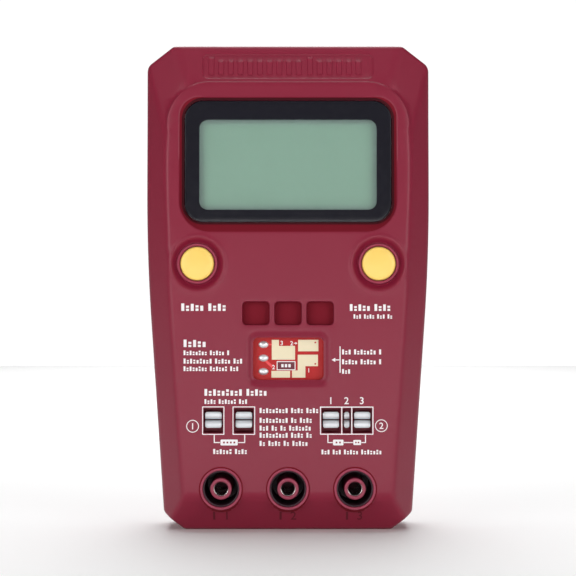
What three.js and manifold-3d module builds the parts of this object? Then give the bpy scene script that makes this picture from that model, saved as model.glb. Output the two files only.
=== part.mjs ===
// Handheld component tester: a two-part clamshell case with a display, two push buttons, a pad
// board for surface-mount parts, two spring-clip ports, three shrouded 4 mm sockets and a 9 V
// battery under a screwed cover in the back.
//
// Everything is modelled lying on its back: x across, y towards the display end, z from the
// rear face towards the front face. The last lines stand the tester up on its bottom end.
import * as THREE from "three";
import { ConvexGeometry } from "three/addons/geometries/ConvexGeometry.js";
import { mergeVertices } from "three/addons/utils/BufferGeometryUtils.js";
import Module from "manifold-3d";

const wasm = await Module();
wasm.setup();

// ---- driving dimensions, in millimetres ----
const CASE_HEIGHT = 145.2;
const CASE_WIDTH = 85;
const FACE_Z = 33; // front face above the rear face
const BUTTON_TOP_Z = 34.2; // crown of the button domes, the foremost point
const WALL = 2.2;
const GAP = 0.3; // seam and assembly clearance
const THIN_GAP = 0.15; // between parts that touch
const PARTING_Z = 15;
const SHOULDER_Z = 24; // where the upright walls turn into the slopes
const TOP_SHOULDER_Z = 27;
const TILT_START_Y = 17; // above this the face leans back
const TILT = 0.035;
const REAR_EDGE = 4; // radius of the rear edges
const BELOW = -1; // cutters start below the rear face
const ABOVE = 36; // and end above the front face
const BEHIND_BOARD = 20; // or start in the open space behind the main board

const TOP = CASE_HEIGHT / 2;
const SIDE = CASE_WIDTH / 2;
const RING = 20; // facets of a visible round feature
const SMALL_RING = 12; // facets of a small or hidden one

// Half outlines: the widths of the ends, the corners, and the middle of the long side bend.
const OUTLINE = {
  head: 34.4,
  shoulderY: 66.8,
  waistY: 9.1,
  heel: { x: 37.3, y: -67.3 },
  foot: 31,
  radii: [2, 3, 560, 2, 2],
};
const FACE = { side: 35.9, top: 60.6, waistY: 2.2, heel: { x: 31.6, y: -62.2 }, radii: [12.5, 440, 3.5] };
const RECESS = { side: 32.5, top: 56.8, bottom: 16.1, radii: [6, 9] };

const PCB = { bottom: 22, top: 23.6 };
const LENS = { x: 0, y: 37.5, width: 61.5, height: 36.1, radius: 5.5, bottom: 29, top: 30.3 };
const LCD = { width: 58, height: 33, radius: 0.5, glass: [25.9, 27.8], backlight: [23.8, 25.8] };
const HOLDER = { width: 62, height: 37, radius: 1.5, bottom: 23.7, top: 27.9, fit: 0.4 };
const BUTTON = { x: 26.9, y: 6.9, radius: 4.95, bore: 5.2, rim: 6.1, well: 7.5, floorZ: 31.4 };
const CAP = { flange: 5.7, bottom: 28.2, flangeTop: 28.9, rimZ: 33 };
const SWITCH = { half: 3, top: 27.1, bore: 1.9, plunger: 1.7, plungerZ: [26.1, 28.1] };
const POCKET = { pitch: 9.5, y: -7.8, width: 8, height: 6.9, depth: 2.4 };
const PAD_WINDOW = { y: -21.3, width: 21, height: 12.6, radius: 1.6, slope: 1.8 };
const PAD_BOARD = { x: 0.1, width: 23.4, height: 15, radius: 1.5, bottom: 28.6, top: 29.8 };
const PAD_PINS = { x: -7.3, rise: 0.2, pitch: 4, bottom: 21.7, top: 30.1, hole: 0.5 };
const PIN = { radius: 0.32, hole: 0.6, facets: 8 }; // pins of both headers
const CLIP = { y: -39.4, openTop: 3.5, openBottom: 4.1, blockHalf: 4.3, blockTop: 26.4 };
const LEAF = { thickness: 0.3, foot: 1.6, footZ: 24.9, kneeZ: 27, nip: 0.32, nipZ: 30.3 };
const JACK = { pitch: 19.8, y: -59.7, boss: 6.35, bore: 5.5, post: 3.2, hole: 2, bottom: 12 };
const JACK_TOP_Z = FACE_Z + 0.2;
const JACK_BOARD = { bottom: 7.6, top: 9.2, width: 51, front: -44, back: -68 };
const JACK_PINS = { y: -47.5, pitch: 2.54, bottom: 6.8, top: 24.4 };
const BATTERY = { x0: -26, x1: 19.5, y: -12, width: 26.5, bottom: 2.6, top: 20.1, radius: 2.4 };
const STUDS = { offset: 6.35, plus: 2.8, minus: 3.9, height: 2.6 };
const SNAP = { width: 25.4, depth: 12, radius: 5.9, start: 0.4, end: 5, play: 0.3 };
const BAY = { x: 28.3, y0: -26.3, y1: 2.3, top: 20.3, wall: 1.5 };
const COVER = { x: 31.5, y0: -36, y1: 5.5, rebate: 1.9, screwY: -31.5, radius: 3 };
const LEAD_WINDOW = { y0: -20, y1: -8, z0: 14.5, z1: 19 }; // the leads leave the bay here
const LEAD = { radius: 0.7, x: 27.1, boardX: 32.6 };
const CASE_SCREWS = [[-34.5, 58], [34.5, 58], [-30.5, -57], [30.5, -57]];
const BOARD_SCREWS = [[-34, 48], [34, 48], [-34, -30], [34, -30]];
const CASE_SCREW = { headZ: 3, headRadius: 2.8, headHeight: 2, shankRadius: 1.4, length: 19 };
const BOARD_SCREW = { headZ: 20.4, headRadius: 2.2, headHeight: 1.5, shankRadius: 1.1, length: 7 };
const COVER_SCREW = { headZ: 0.15, headRadius: 2.7, headHeight: 0.75, shankRadius: 1.15, length: 9 };

// Spring-clip sockets: centre x and opening width, and the width of each leaf.
const SOCKETS = [
  { name: "port1_left", x: -22.1, open: 5.7, leaf: 4.9 },
  { name: "port1_right", x: -13.07, open: 5.8, leaf: 4.9 },
  { name: "port2_pin1", x: 12.75, open: 5.6, leaf: 4.8 },
  { name: "port2_pin2", x: 17.4, open: 2.3, leaf: 1.6 },
  { name: "port2_pin3", x: 22, open: 5.6, leaf: 4.8 },
];

// ---- colours and finishes ----
const plastic = (color, roughness = 0.5) =>
  new THREE.MeshStandardMaterial({ color, roughness, metalness: 0 });
const metal = (color, roughness = 0.3) =>
  new THREE.MeshStandardMaterial({ color, roughness, metalness: 1 });
const caseRed = plastic(0x8c2a3e, 0.45);
const capYellow = plastic(0xfdb92e, 0.4);
const black = plastic(0x1b1b20, 0.4);
const lensClear = plastic(0x20242c, 0.1);
const lcdGreen = plastic(0x84a896, 0.3);
const milkWhite = plastic(0xe8ecec, 0.5);
const boardRed = plastic(0xa81c1e, 0.4);
const boardGreen = plastic(0x1f5b36, 0.4);
const resistorBlue = plastic(0x5f8fb5, 0.5);
const capacitorSleeve = plastic(0x202a3c, 0.4);
const batterySleeve = plastic(0x35383d, 0.4);
const leadRed = plastic(0xb01818, 0.5);
const nickel = metal(0xc9cdd2, 0.25);
const tin = metal(0xd6dadd, 0.3);
const zincSteel = metal(0x9ea1a5, 0.35);

// ---- helpers ----
function solid(geometry) {
  const plain = geometry.clone();
  plain.deleteAttribute("normal");
  plain.deleteAttribute("uv");
  const merged = mergeVertices(plain, 1e-4);
  return new wasm.Manifold(
    new wasm.Mesh({
      numProp: 3,
      vertProperties: merged.attributes.position.array,
      triVerts: new Uint32Array(merged.index.array),
    }),
  );
}

function geometryOf(body) {
  const mesh = body.getMesh();
  return new THREE.BufferGeometry()
    .setAttribute("position", new THREE.BufferAttribute(mesh.vertProperties, 3))
    .setIndex(new THREE.BufferAttribute(mesh.triVerts, 1));
}

const joined = (bodies) => bodies.reduce((sum, body) => sum.add(body));
const without = (body, cuts) => cuts.reduce((rest, cut) => rest.subtract(cut), body);

// A closed shape, drawn anticlockwise, whose convex corners are arcs of their own radius.
function roundedPolygon(corners, radii) {
  const shape = new THREE.Shape();
  corners.forEach(([x, y], i) => {
    const corner = new THREE.Vector2(x, y);
    const last = new THREE.Vector2(...corners.at(i - 1));
    const next = new THREE.Vector2(...corners[(i + 1) % corners.length]);
    const back = last.sub(corner).normalize();
    const ahead = next.sub(corner).normalize();
    const half = Math.acos(THREE.MathUtils.clamp(back.dot(ahead), -1, 1)) / 2;
    const reach = radii[i] / Math.tan(half);
    const middle = back.clone().add(ahead).normalize();
    const centre = corner.clone().addScaledVector(middle, radii[i] / Math.sin(half));
    const from = corner.clone().addScaledVector(back, reach).sub(centre).angle();
    const to = corner.clone().addScaledVector(ahead, reach).sub(centre).angle();
    shape.absarc(centre.x, centre.y, radii[i], from, to, false);
  });
  shape.closePath();
  return shape;
}

function roundedBox(cx, cy, width, height, radius) {
  const [w, h] = [width / 2, height / 2];
  const corners = [[cx - w, cy - h], [cx + w, cy - h], [cx + w, cy + h], [cx - w, cy + h]];
  return roundedPolygon(corners, [radius, radius, radius, radius]);
}

function prism(shape, z0, z1, curveSegments = 2) {
  const settings = { depth: z1 - z0, bevelEnabled: false, curveSegments };
  return solid(new THREE.ExtrudeGeometry(shape, settings).translate(0, 0, z0));
}

function block(x0, x1, y0, y1, z0, z1) {
  const box = new THREE.BoxGeometry(x1 - x0, y1 - y0, z1 - z0);
  return solid(box.translate((x0 + x1) / 2, (y0 + y1) / 2, (z0 + z1) / 2));
}

function disc(x, y, radius, z0, z1, facets = SMALL_RING) {
  const pillar = new THREE.CylinderGeometry(radius, radius, z1 - z0, facets);
  return solid(pillar.rotateX(Math.PI / 2).translate(x, y, (z0 + z1) / 2));
}

// A body of revolution about an upright axis. The profile lists [radius, z] pairs from the
// bottom of the axis, outwards and up, back to the axis, or once round a ring.
function turned(x, y, profile, facets = SMALL_RING) {
  const points = profile.map(([r, z]) => new THREE.Vector2(r, z));
  const lathe = new THREE.LatheGeometry(points, facets);
  return solid(lathe.rotateX(Math.PI / 2).translate(x, y, 0));
}

function tube(x, y, outer, inner, z0, z1, facets = SMALL_RING) {
  const profile = [[inner, z0], [outer, z0], [outer, z1], [inner, z1], [inner, z0]];
  return turned(x, y, profile, facets);
}

// Lofts between two outlines that have the same number of points, one above the other.
function convexBetween(lower, z0, upper, z1) {
  const at = (z) => (p) => new THREE.Vector3(p.x, p.y, z);
  return solid(new ConvexGeometry([...lower.map(at(z0)), ...upper.map(at(z1))]));
}

// Turns a shape drawn in (y, z) and extruded by its width into place across x.
const ACROSS = new THREE.Matrix4().makeBasis(
  new THREE.Vector3(0, 1, 0),
  new THREE.Vector3(0, 0, 1),
  new THREE.Vector3(1, 0, 0),
);
function acrossX(shape, x, width, curveSegments = 2) {
  const settings = { depth: width, bevelEnabled: false, curveSegments };
  const strip = new THREE.ExtrudeGeometry(shape, settings).applyMatrix4(ACROSS);
  return solid(strip.translate(x - width / 2, 0, 0));
}

// A whole outline, anticlockwise, from the corners of its right half listed top to bottom.
const mirrored = (half) => [...half.map(([x, y]) => [-x, y]), ...half.toReversed()];
const mirroredPolygon = (half, radii) =>
  roundedPolygon(mirrored(half), [...radii, ...radii.toReversed()]);

const tester = new THREE.Group();
function add(name, body, material) {
  const mesh = new THREE.Mesh(geometryOf(body), material);
  mesh.name = name;
  tester.add(mesh);
}

// ---- the case's outer form ----
const faceHeight = (y) => FACE_Z - Math.max(0, y - TILT_START_Y) * TILT;

// The outline in plan, widest at the seam, moved inwards by inset.
function caseOutline(inset) {
  const { head, shoulderY, waistY, heel, foot, radii } = OUTLINE;
  const half = [
    [head - inset * 0.6, TOP - inset],
    [SIDE - inset, shoulderY - inset * 0.6],
    [SIDE - inset, waistY],
    [heel.x - inset, heel.y + inset * 0.45],
    [foot - inset * 0.5, -TOP + inset],
  ];
  return mirroredPolygon(half, radii);
}

function faceOutline(inset) {
  const { side, top, waistY, heel, radii } = FACE;
  const half = [
    [side - inset, top - inset],
    [side - inset, waistY],
    [heel.x - inset, heel.y + inset],
  ];
  return mirroredPolygon(half, radii);
}

// Sides and bottom break at one height, and the top end stands higher.
function shoulderHeight(y) {
  const share = THREE.MathUtils.clamp((y - OUTLINE.shoulderY) / (TOP - OUTLINE.shoulderY), 0, 1);
  return THREE.MathUtils.lerp(SHOULDER_Z, TOP_SHOULDER_Z, share);
}

// The front form: an upright wall, slopes up to the face, and the face itself.
function frontForm({ faceInset, wallInset, faceDrop, shoulderDrop, z0 }) {
  const outline = caseOutline(wallInset).getPoints(2);
  const face = faceOutline(faceInset).getPoints(3);
  const foldX = FACE.side - faceInset;
  const points = [
    ...outline.map((p) => new THREE.Vector3(p.x, p.y, z0)),
    ...outline.map((p) => new THREE.Vector3(p.x, p.y, shoulderHeight(p.y) - shoulderDrop)),
    ...face.map((p) => new THREE.Vector3(p.x, p.y, faceHeight(p.y) - faceDrop)),
    ...[-foldX, foldX].map((x) => new THREE.Vector3(x, TILT_START_Y, FACE_Z - faceDrop)),
  ];
  return solid(new ConvexGeometry(points));
}

const frontOuter = frontForm({
  faceInset: 0, wallInset: 0, faceDrop: 0, shoulderDrop: 0, z0: PARTING_Z + GAP / 2,
});
const frontInner = frontForm({
  faceInset: 1, wallInset: WALL, faceDrop: WALL, shoulderDrop: 0.9, z0: PARTING_Z - 5,
});

// The rear form: an upright wall with a rounded edge round the rear face.
function rearForm(wallInset, floor, z1) {
  const points = [0, 30, 60, 90].flatMap((angle) => {
    const turn = THREE.MathUtils.degToRad(angle);
    const inset = wallInset + REAR_EDGE * (1 - Math.cos(turn));
    const z = floor + REAR_EDGE * (1 - Math.sin(turn));
    return caseOutline(inset).getPoints(1).map((p) => new THREE.Vector3(p.x, p.y, z));
  });
  const rim = caseOutline(wallInset).getPoints(2);
  return solid(new ConvexGeometry([...points, ...rim.map((p) => new THREE.Vector3(p.x, p.y, z1))]));
}

// ---- front shell ----
const jackXs = [-JACK.pitch, 0, JACK.pitch];
const padPinYs = [1, 0, -1].map((n) => PAD_WINDOW.y + PAD_PINS.rise + n * PAD_PINS.pitch);

function displayRecess() {
  const { side, top, bottom, radii } = RECESS;
  const half = [
    [side, top],
    [side, bottom],
  ];
  const rim = mirroredPolygon(half, radii).getPoints(3);
  const lens = roundedBox(LENS.x, LENS.y, LENS.width, LENS.height, LENS.radius).getPoints(3);
  const brim = FACE_Z + 0.4; // above the leaning face all round
  return convexBetween(lens, LENS.top, rim, brim);
}

function padRecess() {
  const { y, width, height, radius, slope } = PAD_WINDOW;
  const inner = roundedBox(0, y, width, height, radius).getPoints(2);
  const outer = roundedBox(0, y, width + 2 * slope, height + 2 * slope, radius + slope);
  const lipZ = 30.9;
  return convexBetween(inner, lipZ, outer.getPoints(2), FACE_Z + 0.01);
}

function buttonWell(x) {
  const { y, rim, well, floorZ } = BUTTON;
  const above = FACE_Z + 1;
  const floorWidth = 0.2;
  const groove = [
    [rim, floorZ],
    [rim + floorWidth, floorZ],
    [well, FACE_Z],
    [well, above],
    [rim, above],
    [rim, floorZ],
  ];
  return turned(x, y, groove, RING);
}

const buttonXs = [-BUTTON.x, BUTTON.x];

// Material behind the face: frames round the openings, and a boss for each screw.
function frontBosses() {
  const backed = 31.5; // inside the thickness of the face
  const lensFrame = roundedBox(LENS.x, LENS.y, LENS.width + 4.4, LENS.height + 4.4, 7);
  const backing = roundedBox(0, POCKET.y, 2 * POCKET.pitch + 12, POCKET.height + 3, 2);
  const padFrame = roundedBox(0, PAD_WINDOW.y, 27, 18.6, 3.5);
  const bosses = [
    prism(lensFrame, 28, 32.5),
    prism(backing, FACE_Z - POCKET.depth - 1.2, backed),
    prism(padFrame, 30, backed),
    ...buttonXs.flatMap((x) => [
      disc(x, BUTTON.y, BUTTON.rim + 0.2, 29, backed, RING),
      disc(x, BUTTON.y, BUTTON.well + 0.7, 29.8, backed, RING),
    ]),
    ...CASE_SCREWS.map(([x, y]) => disc(x, y, 3, PARTING_Z + GAP, 31)),
    ...BOARD_SCREWS.map(([x, y]) => disc(x, y, 2.3, PCB.top + THIN_GAP, 31)),
  ];
  return bosses.map((boss) => boss.intersect(frontOuter));
}

function frontShell() {
  const { width: padWidth, height: padHeight, radius: padRadius } = PAD_WINDOW;
  const padHole = roundedBox(0, PAD_WINDOW.y, padWidth, padHeight, padRadius);
  const jackBosses = jackXs.map((x) => disc(x, JACK.y, JACK.boss, JACK.bottom, JACK_TOP_Z, RING));
  const grooves = jackXs.map((x) =>
    tube(x, JACK.y, JACK.boss + 0.35, JACK.boss - 0.5, FACE_Z - 0.8, FACE_Z + 1, RING), // round each boss
  );
  const lensPocket = roundedBox(
    LENS.x, LENS.y, LENS.width + GAP, LENS.height + GAP, LENS.radius + GAP / 2);
  const cuts = [
    displayRecess(),
    prism(lensPocket, LENS.bottom - THIN_GAP, LENS.top + 0.05),
    prism(roundedBox(LENS.x, LENS.y, 55, 30, 2.5), BEHIND_BOARD, LENS.top),
    ...buttonXs.flatMap((x) => [
      buttonWell(x),
      disc(x, BUTTON.y, BUTTON.bore, BEHIND_BOARD, ABOVE, RING),
    ]),
    ...[-1, 0, 1].map((n) => {
      const { pitch, y, width, height, depth } = POCKET;
      return prism(roundedBox(n * pitch, y, width, height, 1.1), FACE_Z - depth, FACE_Z + 1);
    }),
    padRecess(),
    prism(padHole, BEHIND_BOARD, 31),
    ...SOCKETS.map(({ x, open }) => {
      const [low, high] = [CLIP.y - CLIP.openBottom, CLIP.y + CLIP.openTop];
      return block(x - open / 2, x + open / 2, low, high, BEHIND_BOARD, ABOVE);
    }),
    ...CASE_SCREWS.map(([x, y]) => disc(x, y, CASE_SCREW.shankRadius + 0.1, PARTING_Z - 1, 24)),
    ...BOARD_SCREWS.map(([x, y]) => disc(x, y, BOARD_SCREW.shankRadius + 0.1, BEHIND_BOARD, 28)),
  ];
  const hollow = frontOuter.subtract(frontInner);
  const skin = without(joined([hollow, ...frontBosses()]), [...cuts, ...grooves]);
  const jackBores = jackXs.map((x) => disc(x, JACK.y, JACK.bore, JACK.bottom - 2, ABOVE, RING));
  return without(joined([skin, ...jackBosses]), jackBores);
}
add("front_shell", frontShell(), caseRed);

// ---- rear shell, with the battery bay ----
function rearShell() {
  const rim = PARTING_Z - GAP / 2;
  const hollow = rearForm(0, 0, rim).subtract(rearForm(WALL, WALL, PARTING_Z + 5));
  const { x, y0, y1, top, wall } = BAY;
  const base = WALL / 2; // the floor parts start inside the rear wall
  const floor = block(-COVER.x - 2, COVER.x + 2, COVER.y0 - 2, COVER.y1 + 2, base, 3.4);
  const walls = block(-x - wall, x + wall, y0 - wall, y1 + wall, base, top + 1.2);
  const posts = CASE_SCREWS.map(([px, py]) => disc(px, py, 4.2, base, rim));
  const coverPost = disc(0, COVER.screwY, 3.2, base, 12);
  const coverY = (COVER.y0 + COVER.y1) / 2;
  const cover = roundedBox(0, coverY, 2 * COVER.x, COVER.y1 - COVER.y0, COVER.radius);
  const window = LEAD_WINDOW;
  const seat = CASE_SCREW.headZ + CASE_SCREW.headHeight + 0.1; // under the screw heads
  const cuts = [
    block(-x, x, y0, y1, BELOW, top),
    prism(cover, BELOW, COVER.rebate),
    block(x - 1, x + wall + 1, window.y0, window.y1, window.z0, window.z1),
    ...CASE_SCREWS.flatMap(([px, py]) => [
      disc(px, py, CASE_SCREW.headRadius + GAP, BELOW, seat),
      disc(px, py, CASE_SCREW.shankRadius + GAP, seat - 1, rim + 1),
    ]),
    disc(0, COVER.screwY, COVER_SCREW.shankRadius + 0.1, 0, 11),
  ];
  const outer = rearForm(0, 0, rim);
  const shell = joined([hollow, floor, ...posts.map((p) => p.intersect(outer)), coverPost, walls]);
  return without(shell, cuts);
}
add("rear_shell", rearShell(), caseRed);

// ---- battery cover and its screw ----
function batteryCover() {
  const [y0, y1] = [COVER.y0 + GAP, COVER.y1 - GAP];
  const plate = roundedBox(0, (y0 + y1) / 2, 2 * (COVER.x - GAP), y1 - y0, COVER.radius - GAP);
  const lugX = BAY.x - 0.9; // the lugs slide down inside the bay's end walls
  const lugs = [-lugX, lugX].map((x) => block(x - 0.6, x + 0.6, -22, -2, 1, 4.5));
  const gripPitch = 2;
  const grip = [0, 1, 2].map((n) => block(-8, 8, -1.2 - gripPitch * n, -0.2 - gripPitch * n, BELOW, 0.5));
  return without(joined([prism(plate, 0.1, 1.7), ...lugs]), [
    ...grip,
    disc(0, COVER.screwY, COVER_SCREW.headRadius + GAP, BELOW, 0.95, RING),
    disc(0, COVER.screwY, 1.6, 0, 3),
  ]);
}
add("battery_cover", batteryCover(), caseRed);

// A pan-head screw seen head down: a cross recess in the head, then the shank upwards.
function screw(x, y, { headZ, headRadius, headHeight, shankRadius, length }) {
  const head = turned(x, y, [
    [0, headZ],
    [headRadius * 0.75, headZ],
    [headRadius, headZ + headHeight * 0.45],
    [headRadius, headZ + headHeight],
    [shankRadius, headZ + headHeight],
    [shankRadius, headZ + length - 1],
    [shankRadius * 0.35, headZ + length],
    [0, headZ + length],
  ]);
  const arm = headRadius * 0.5;
  const deep = headZ + headHeight * 0.6;
  return without(head, [
    block(x - arm, x + arm, y - 0.3, y + 0.3, headZ - 1, deep),
    block(x - 0.3, x + 0.3, y - arm, y + arm, headZ - 1, deep),
  ]);
}
add("battery_cover_screw", screw(0, COVER.screwY, COVER_SCREW), zincSteel);
CASE_SCREWS.forEach(([x, y], i) => add(`case_screw_${i + 1}`, screw(x, y, CASE_SCREW), zincSteel));
BOARD_SCREWS.forEach(([x, y], i) => add(`board_screw_${i + 1}`, screw(x, y, BOARD_SCREW), zincSteel));

// ---- display ----
// A plate centred on the lens, grown all round by margin.
function plateOver({ width, height, radius }, z0, z1, margin = 0) {
  const grown = roundedBox(LENS.x, LENS.y, width + margin, height + margin, radius + margin / 4);
  return prism(grown, z0, z1);
}
add("display_lens", plateOver(LENS, LENS.bottom, LENS.top), lensClear);
add("lcd_glass", plateOver(LCD, ...LCD.glass), lcdGreen);
add("lcd_backlight", plateOver(LCD, ...LCD.backlight), milkWhite);
const holderRing = plateOver(HOLDER, HOLDER.bottom, HOLDER.top)
  .subtract(plateOver(LCD, HOLDER.bottom - 1, HOLDER.top + 1, HOLDER.fit));
add("lcd_holder", holderRing, milkWhite);

// ---- main board ----
const jackPinXs = [-JACK_PINS.pitch, 0, JACK_PINS.pitch];

// The board narrows at its head, between the case screws, and tapers towards the sockets.
function mainBoard() {
  const half = [
    [30.8, 56],
    [31, 52.5],
    [37.6, 52.5],
    [37.6, 0],
    [35, -50],
  ];
  const [low, high] = [PCB.bottom - 1, PCB.top + 1];
  const holes = [
    ...BOARD_SCREWS.map(([x, y]) => disc(x, y, BOARD_SCREW.shankRadius + GAP, low, high)),
    ...padPinYs.map((y) => disc(PAD_PINS.x, y, PIN.hole, low, high, PIN.facets)),
    ...jackPinXs.map((x) => disc(x, JACK_PINS.y, PIN.hole, low, high, PIN.facets)),
  ];
  return without(prism(mirroredPolygon(half, [1, 0.5, 1, 3, 1]), PCB.bottom, PCB.top), holes);
}
add("main_board", mainBoard(), boardGreen);

// ---- buttons and their switches ----
function buttonCap(x) {
  const { y, radius } = BUTTON;
  const { flange, bottom, flangeTop, rimZ } = CAP;
  return turned(x, y, [
    [0, bottom],
    [flange, bottom],
    [flange, flangeTop],
    [radius, flangeTop],
    [radius, rimZ],
    [radius - 0.3, rimZ + 0.5],
    [radius - 0.9, rimZ + 0.75],
    [radius / 2, BUTTON_TOP_Z - 0.1],
    [0, BUTTON_TOP_Z],
  ], RING);
}

function switchBody(x) {
  const { half, top, bore } = SWITCH;
  const [y0, y1] = [BUTTON.y - half, BUTTON.y + half];
  const body = block(x - half, x + half, y0, y1, PCB.top + THIN_GAP, top);
  return body.subtract(disc(x, BUTTON.y, bore, top - 1.7, top + 1));
}

["left", "right"].forEach((side, i) => {
  const x = buttonXs[i];
  add(`${side}_button_cap`, buttonCap(x), capYellow);
  add(`${side}_switch_body`, switchBody(x), black);
  add(`${side}_switch_plunger`, disc(x, BUTTON.y, SWITCH.plunger, ...SWITCH.plungerZ), milkWhite);
});

// ---- pad board for surface-mount parts ----
function padBoard() {
  const { x, width, height, radius, bottom, top } = PAD_BOARD;
  const plate = prism(roundedBox(x, PAD_WINDOW.y, width, height, radius), bottom, top);
  return without(plate, padPinYs.map((y) =>
    disc(PAD_PINS.x, y, PAD_PINS.hole, bottom - 1, top + 1, PIN.facets),
  ));
}
add("pad_board", padBoard(), boardRed);

function padPinHeader() {
  const { x, pitch, bottom, top } = PAD_PINS;
  const [half, end] = [1.25, pitch / 2];
  const strip = block(x - half, x + half, padPinYs[2] - end, padPinYs[0] + end, 24, 26.5);
  return joined([strip, ...padPinYs.map((y) => disc(x, y, PIN.radius, bottom, top, PIN.facets))]);
}
add("pad_pin_header", padPinHeader(), black);

// ---- spring-clip ports ----
// One leaf in (y, z): up from its foot, in to the nip, then rolled over outwards.
function leafShape(sign) {
  const line = new THREE.CurvePath();
  const at = (y, z) => new THREE.Vector2(CLIP.y + sign * y, z);
  const [foot, knee] = [at(LEAF.foot, LEAF.footZ), at(LEAF.foot, LEAF.kneeZ)];
  const nip = at(LEAF.nip, LEAF.nipZ);
  line.add(new THREE.LineCurve(foot, knee));
  line.add(new THREE.LineCurve(knee, nip));
  line.add(new THREE.CubicBezierCurve(nip, at(0.1, 31.3), at(1.1, 31.9), at(2.4, 31.3)));
  const middle = line.curves.flatMap((curve, i) => (i < 2 ? [curve.v1] : curve.getPoints(5)));
  const spine = middle.filter((p, i) => i === 0 || p.distanceTo(middle[i - 1]) > 1e-6);
  const offset = (side) =>
    spine.map((p, i) => {
      const before = spine[Math.max(i - 1, 0)];
      const after = spine[Math.min(i + 1, spine.length - 1)];
      const along = after.clone().sub(before).normalize();
      return new THREE.Vector2(
        p.x - along.y * side * LEAF.thickness * 0.5,
        p.y + along.x * side * LEAF.thickness * 0.5,
      );
    });
  return new THREE.Shape([...offset(1), ...offset(-1).reverse()]);
}

for (const { name, x, leaf } of SOCKETS) {
  add(`${name}_upper_leaf`, acrossX(leafShape(1), x, leaf), tin);
  add(`${name}_lower_leaf`, acrossX(leafShape(-1), x, leaf), tin);
}

function clipBlock(x0, x1, sockets) {
  const [y0, y1] = [CLIP.y - CLIP.blockHalf, CLIP.y + CLIP.blockHalf];
  const body = block(x0, x1, y0, y1, PCB.top + THIN_GAP, CLIP.blockTop);
  const slots = sockets.flatMap(({ x, leaf }) =>
    [-1, 1].map((sign) => {
      const y = CLIP.y + sign * LEAF.foot;
      const reach = leaf / 2 + 0.2;
      return block(x - reach, x + reach, y - 0.4, y + 0.4, LEAF.footZ - 0.4, CLIP.blockTop + 1);
    }),
  );
  return without(body, slots);
}
add("port1_clip_block", clipBlock(-25.4, -9.4, SOCKETS.slice(0, 2)), caseRed);
add("port2_clip_block", clipBlock(9.2, 25.2, SOCKETS.slice(2)), caseRed);

// ---- shrouded 4 mm sockets ----
function jackLiner(x) {
  const [outer, inner, floor] = [JACK.bore - 0.1, JACK.bore - 0.5, JACK.bottom + 1];
  return turned(x, JACK.y, [
    [JACK.post + 0.15, JACK.bottom],
    [outer, JACK.bottom],
    [outer, FACE_Z - 0.5],
    [inner, FACE_Z - 0.5],
    [inner, floor],
    [JACK.post + 0.15, floor],
    [JACK.post + 0.15, JACK.bottom],
  ], RING);
}

const SLEEVE = { radius: 2.5, bottom: 6.8, collar: 3.6, collarZ: [9.3, 10.3], top: 31.5, facets: 16 };

// The insulating post stands on a flange under the liner and covers the sleeve's mouth.
function jackPost(x) {
  const bore = SLEEVE.radius + 0.12;
  const [foot, flange, flangeTop] = [10.5, 4.7, JACK.bottom - 0.2];
  return turned(x, JACK.y, [
    [bore, foot],
    [flange, foot],
    [flange, flangeTop],
    [JACK.post, flangeTop],
    [JACK.post, JACK_TOP_Z],
    [JACK.hole + 0.15, JACK_TOP_Z],
    [JACK.hole + 0.15, SLEEVE.top + 0.1],
    [bore, SLEEVE.top + 0.1],
    [bore, foot],
  ], SLEEVE.facets);
}

function jackSleeve(x) {
  const { radius, bottom, collar, collarZ, top, facets } = SLEEVE;
  return turned(x, JACK.y, [
    [JACK.hole, bottom],
    [radius, bottom],
    [radius, collarZ[0]],
    [collar, collarZ[0]],
    [collar, collarZ[1]],
    [radius, collarZ[1]],
    [radius, top],
    [JACK.hole, top],
    [JACK.hole, bottom],
  ], facets);
}

jackXs.forEach((x, i) => {
  add(`jack_${i + 1}_liner`, jackLiner(x), black);
  add(`jack_${i + 1}_post`, jackPost(x), caseRed);
  add(`jack_${i + 1}_sleeve`, jackSleeve(x), nickel);
});

function jackBoard() {
  const { bottom, top, width, front, back } = JACK_BOARD;
  const plate = prism(roundedBox(0, (front + back) / 2, width, front - back, 1.5), bottom, top);
  const [low, high] = [bottom - 1, top + 1];
  return without(plate, [
    ...jackXs.map((x) => disc(x, JACK.y, SLEEVE.radius + GAP, low, high)),
    ...jackPinXs.map((x) => disc(x, JACK_PINS.y, PIN.hole, low, high, PIN.facets)),
  ]);
}
add("jack_board", jackBoard(), boardGreen);

function jackPinHeader() {
  const { y, bottom, top } = JACK_PINS;
  const strip = block(-4.2, 4.2, y - 1.3, y + 1.3, JACK_BOARD.top + THIN_GAP, 12);
  return joined([strip, ...jackPinXs.map((x) => disc(x, y, PIN.radius, bottom, top, PIN.facets))]);
}
add("jack_pin_header", jackPinHeader(), black);

// ---- parts on the main board ----
const under = PCB.bottom - THIN_GAP;
const hanging = (width, height, x, y, depth, radius) =>
  prism(roundedBox(x, y, width, height, radius), under - depth, under);
add("microcontroller", hanging(9, 9, 0, 30, 1.4, 0.3), black);
add("crystal", hanging(11, 4.6, 0, 18, 3.4, 2.2), zincSteel);
add("voltage_regulator", hanging(6.6, 6.2, 17.3, 31.1, 2.3, 0.3), black);
add("filter_capacitor", disc(-20, 28, 4, under - 7, under, RING), capacitorSleeve);

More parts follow.
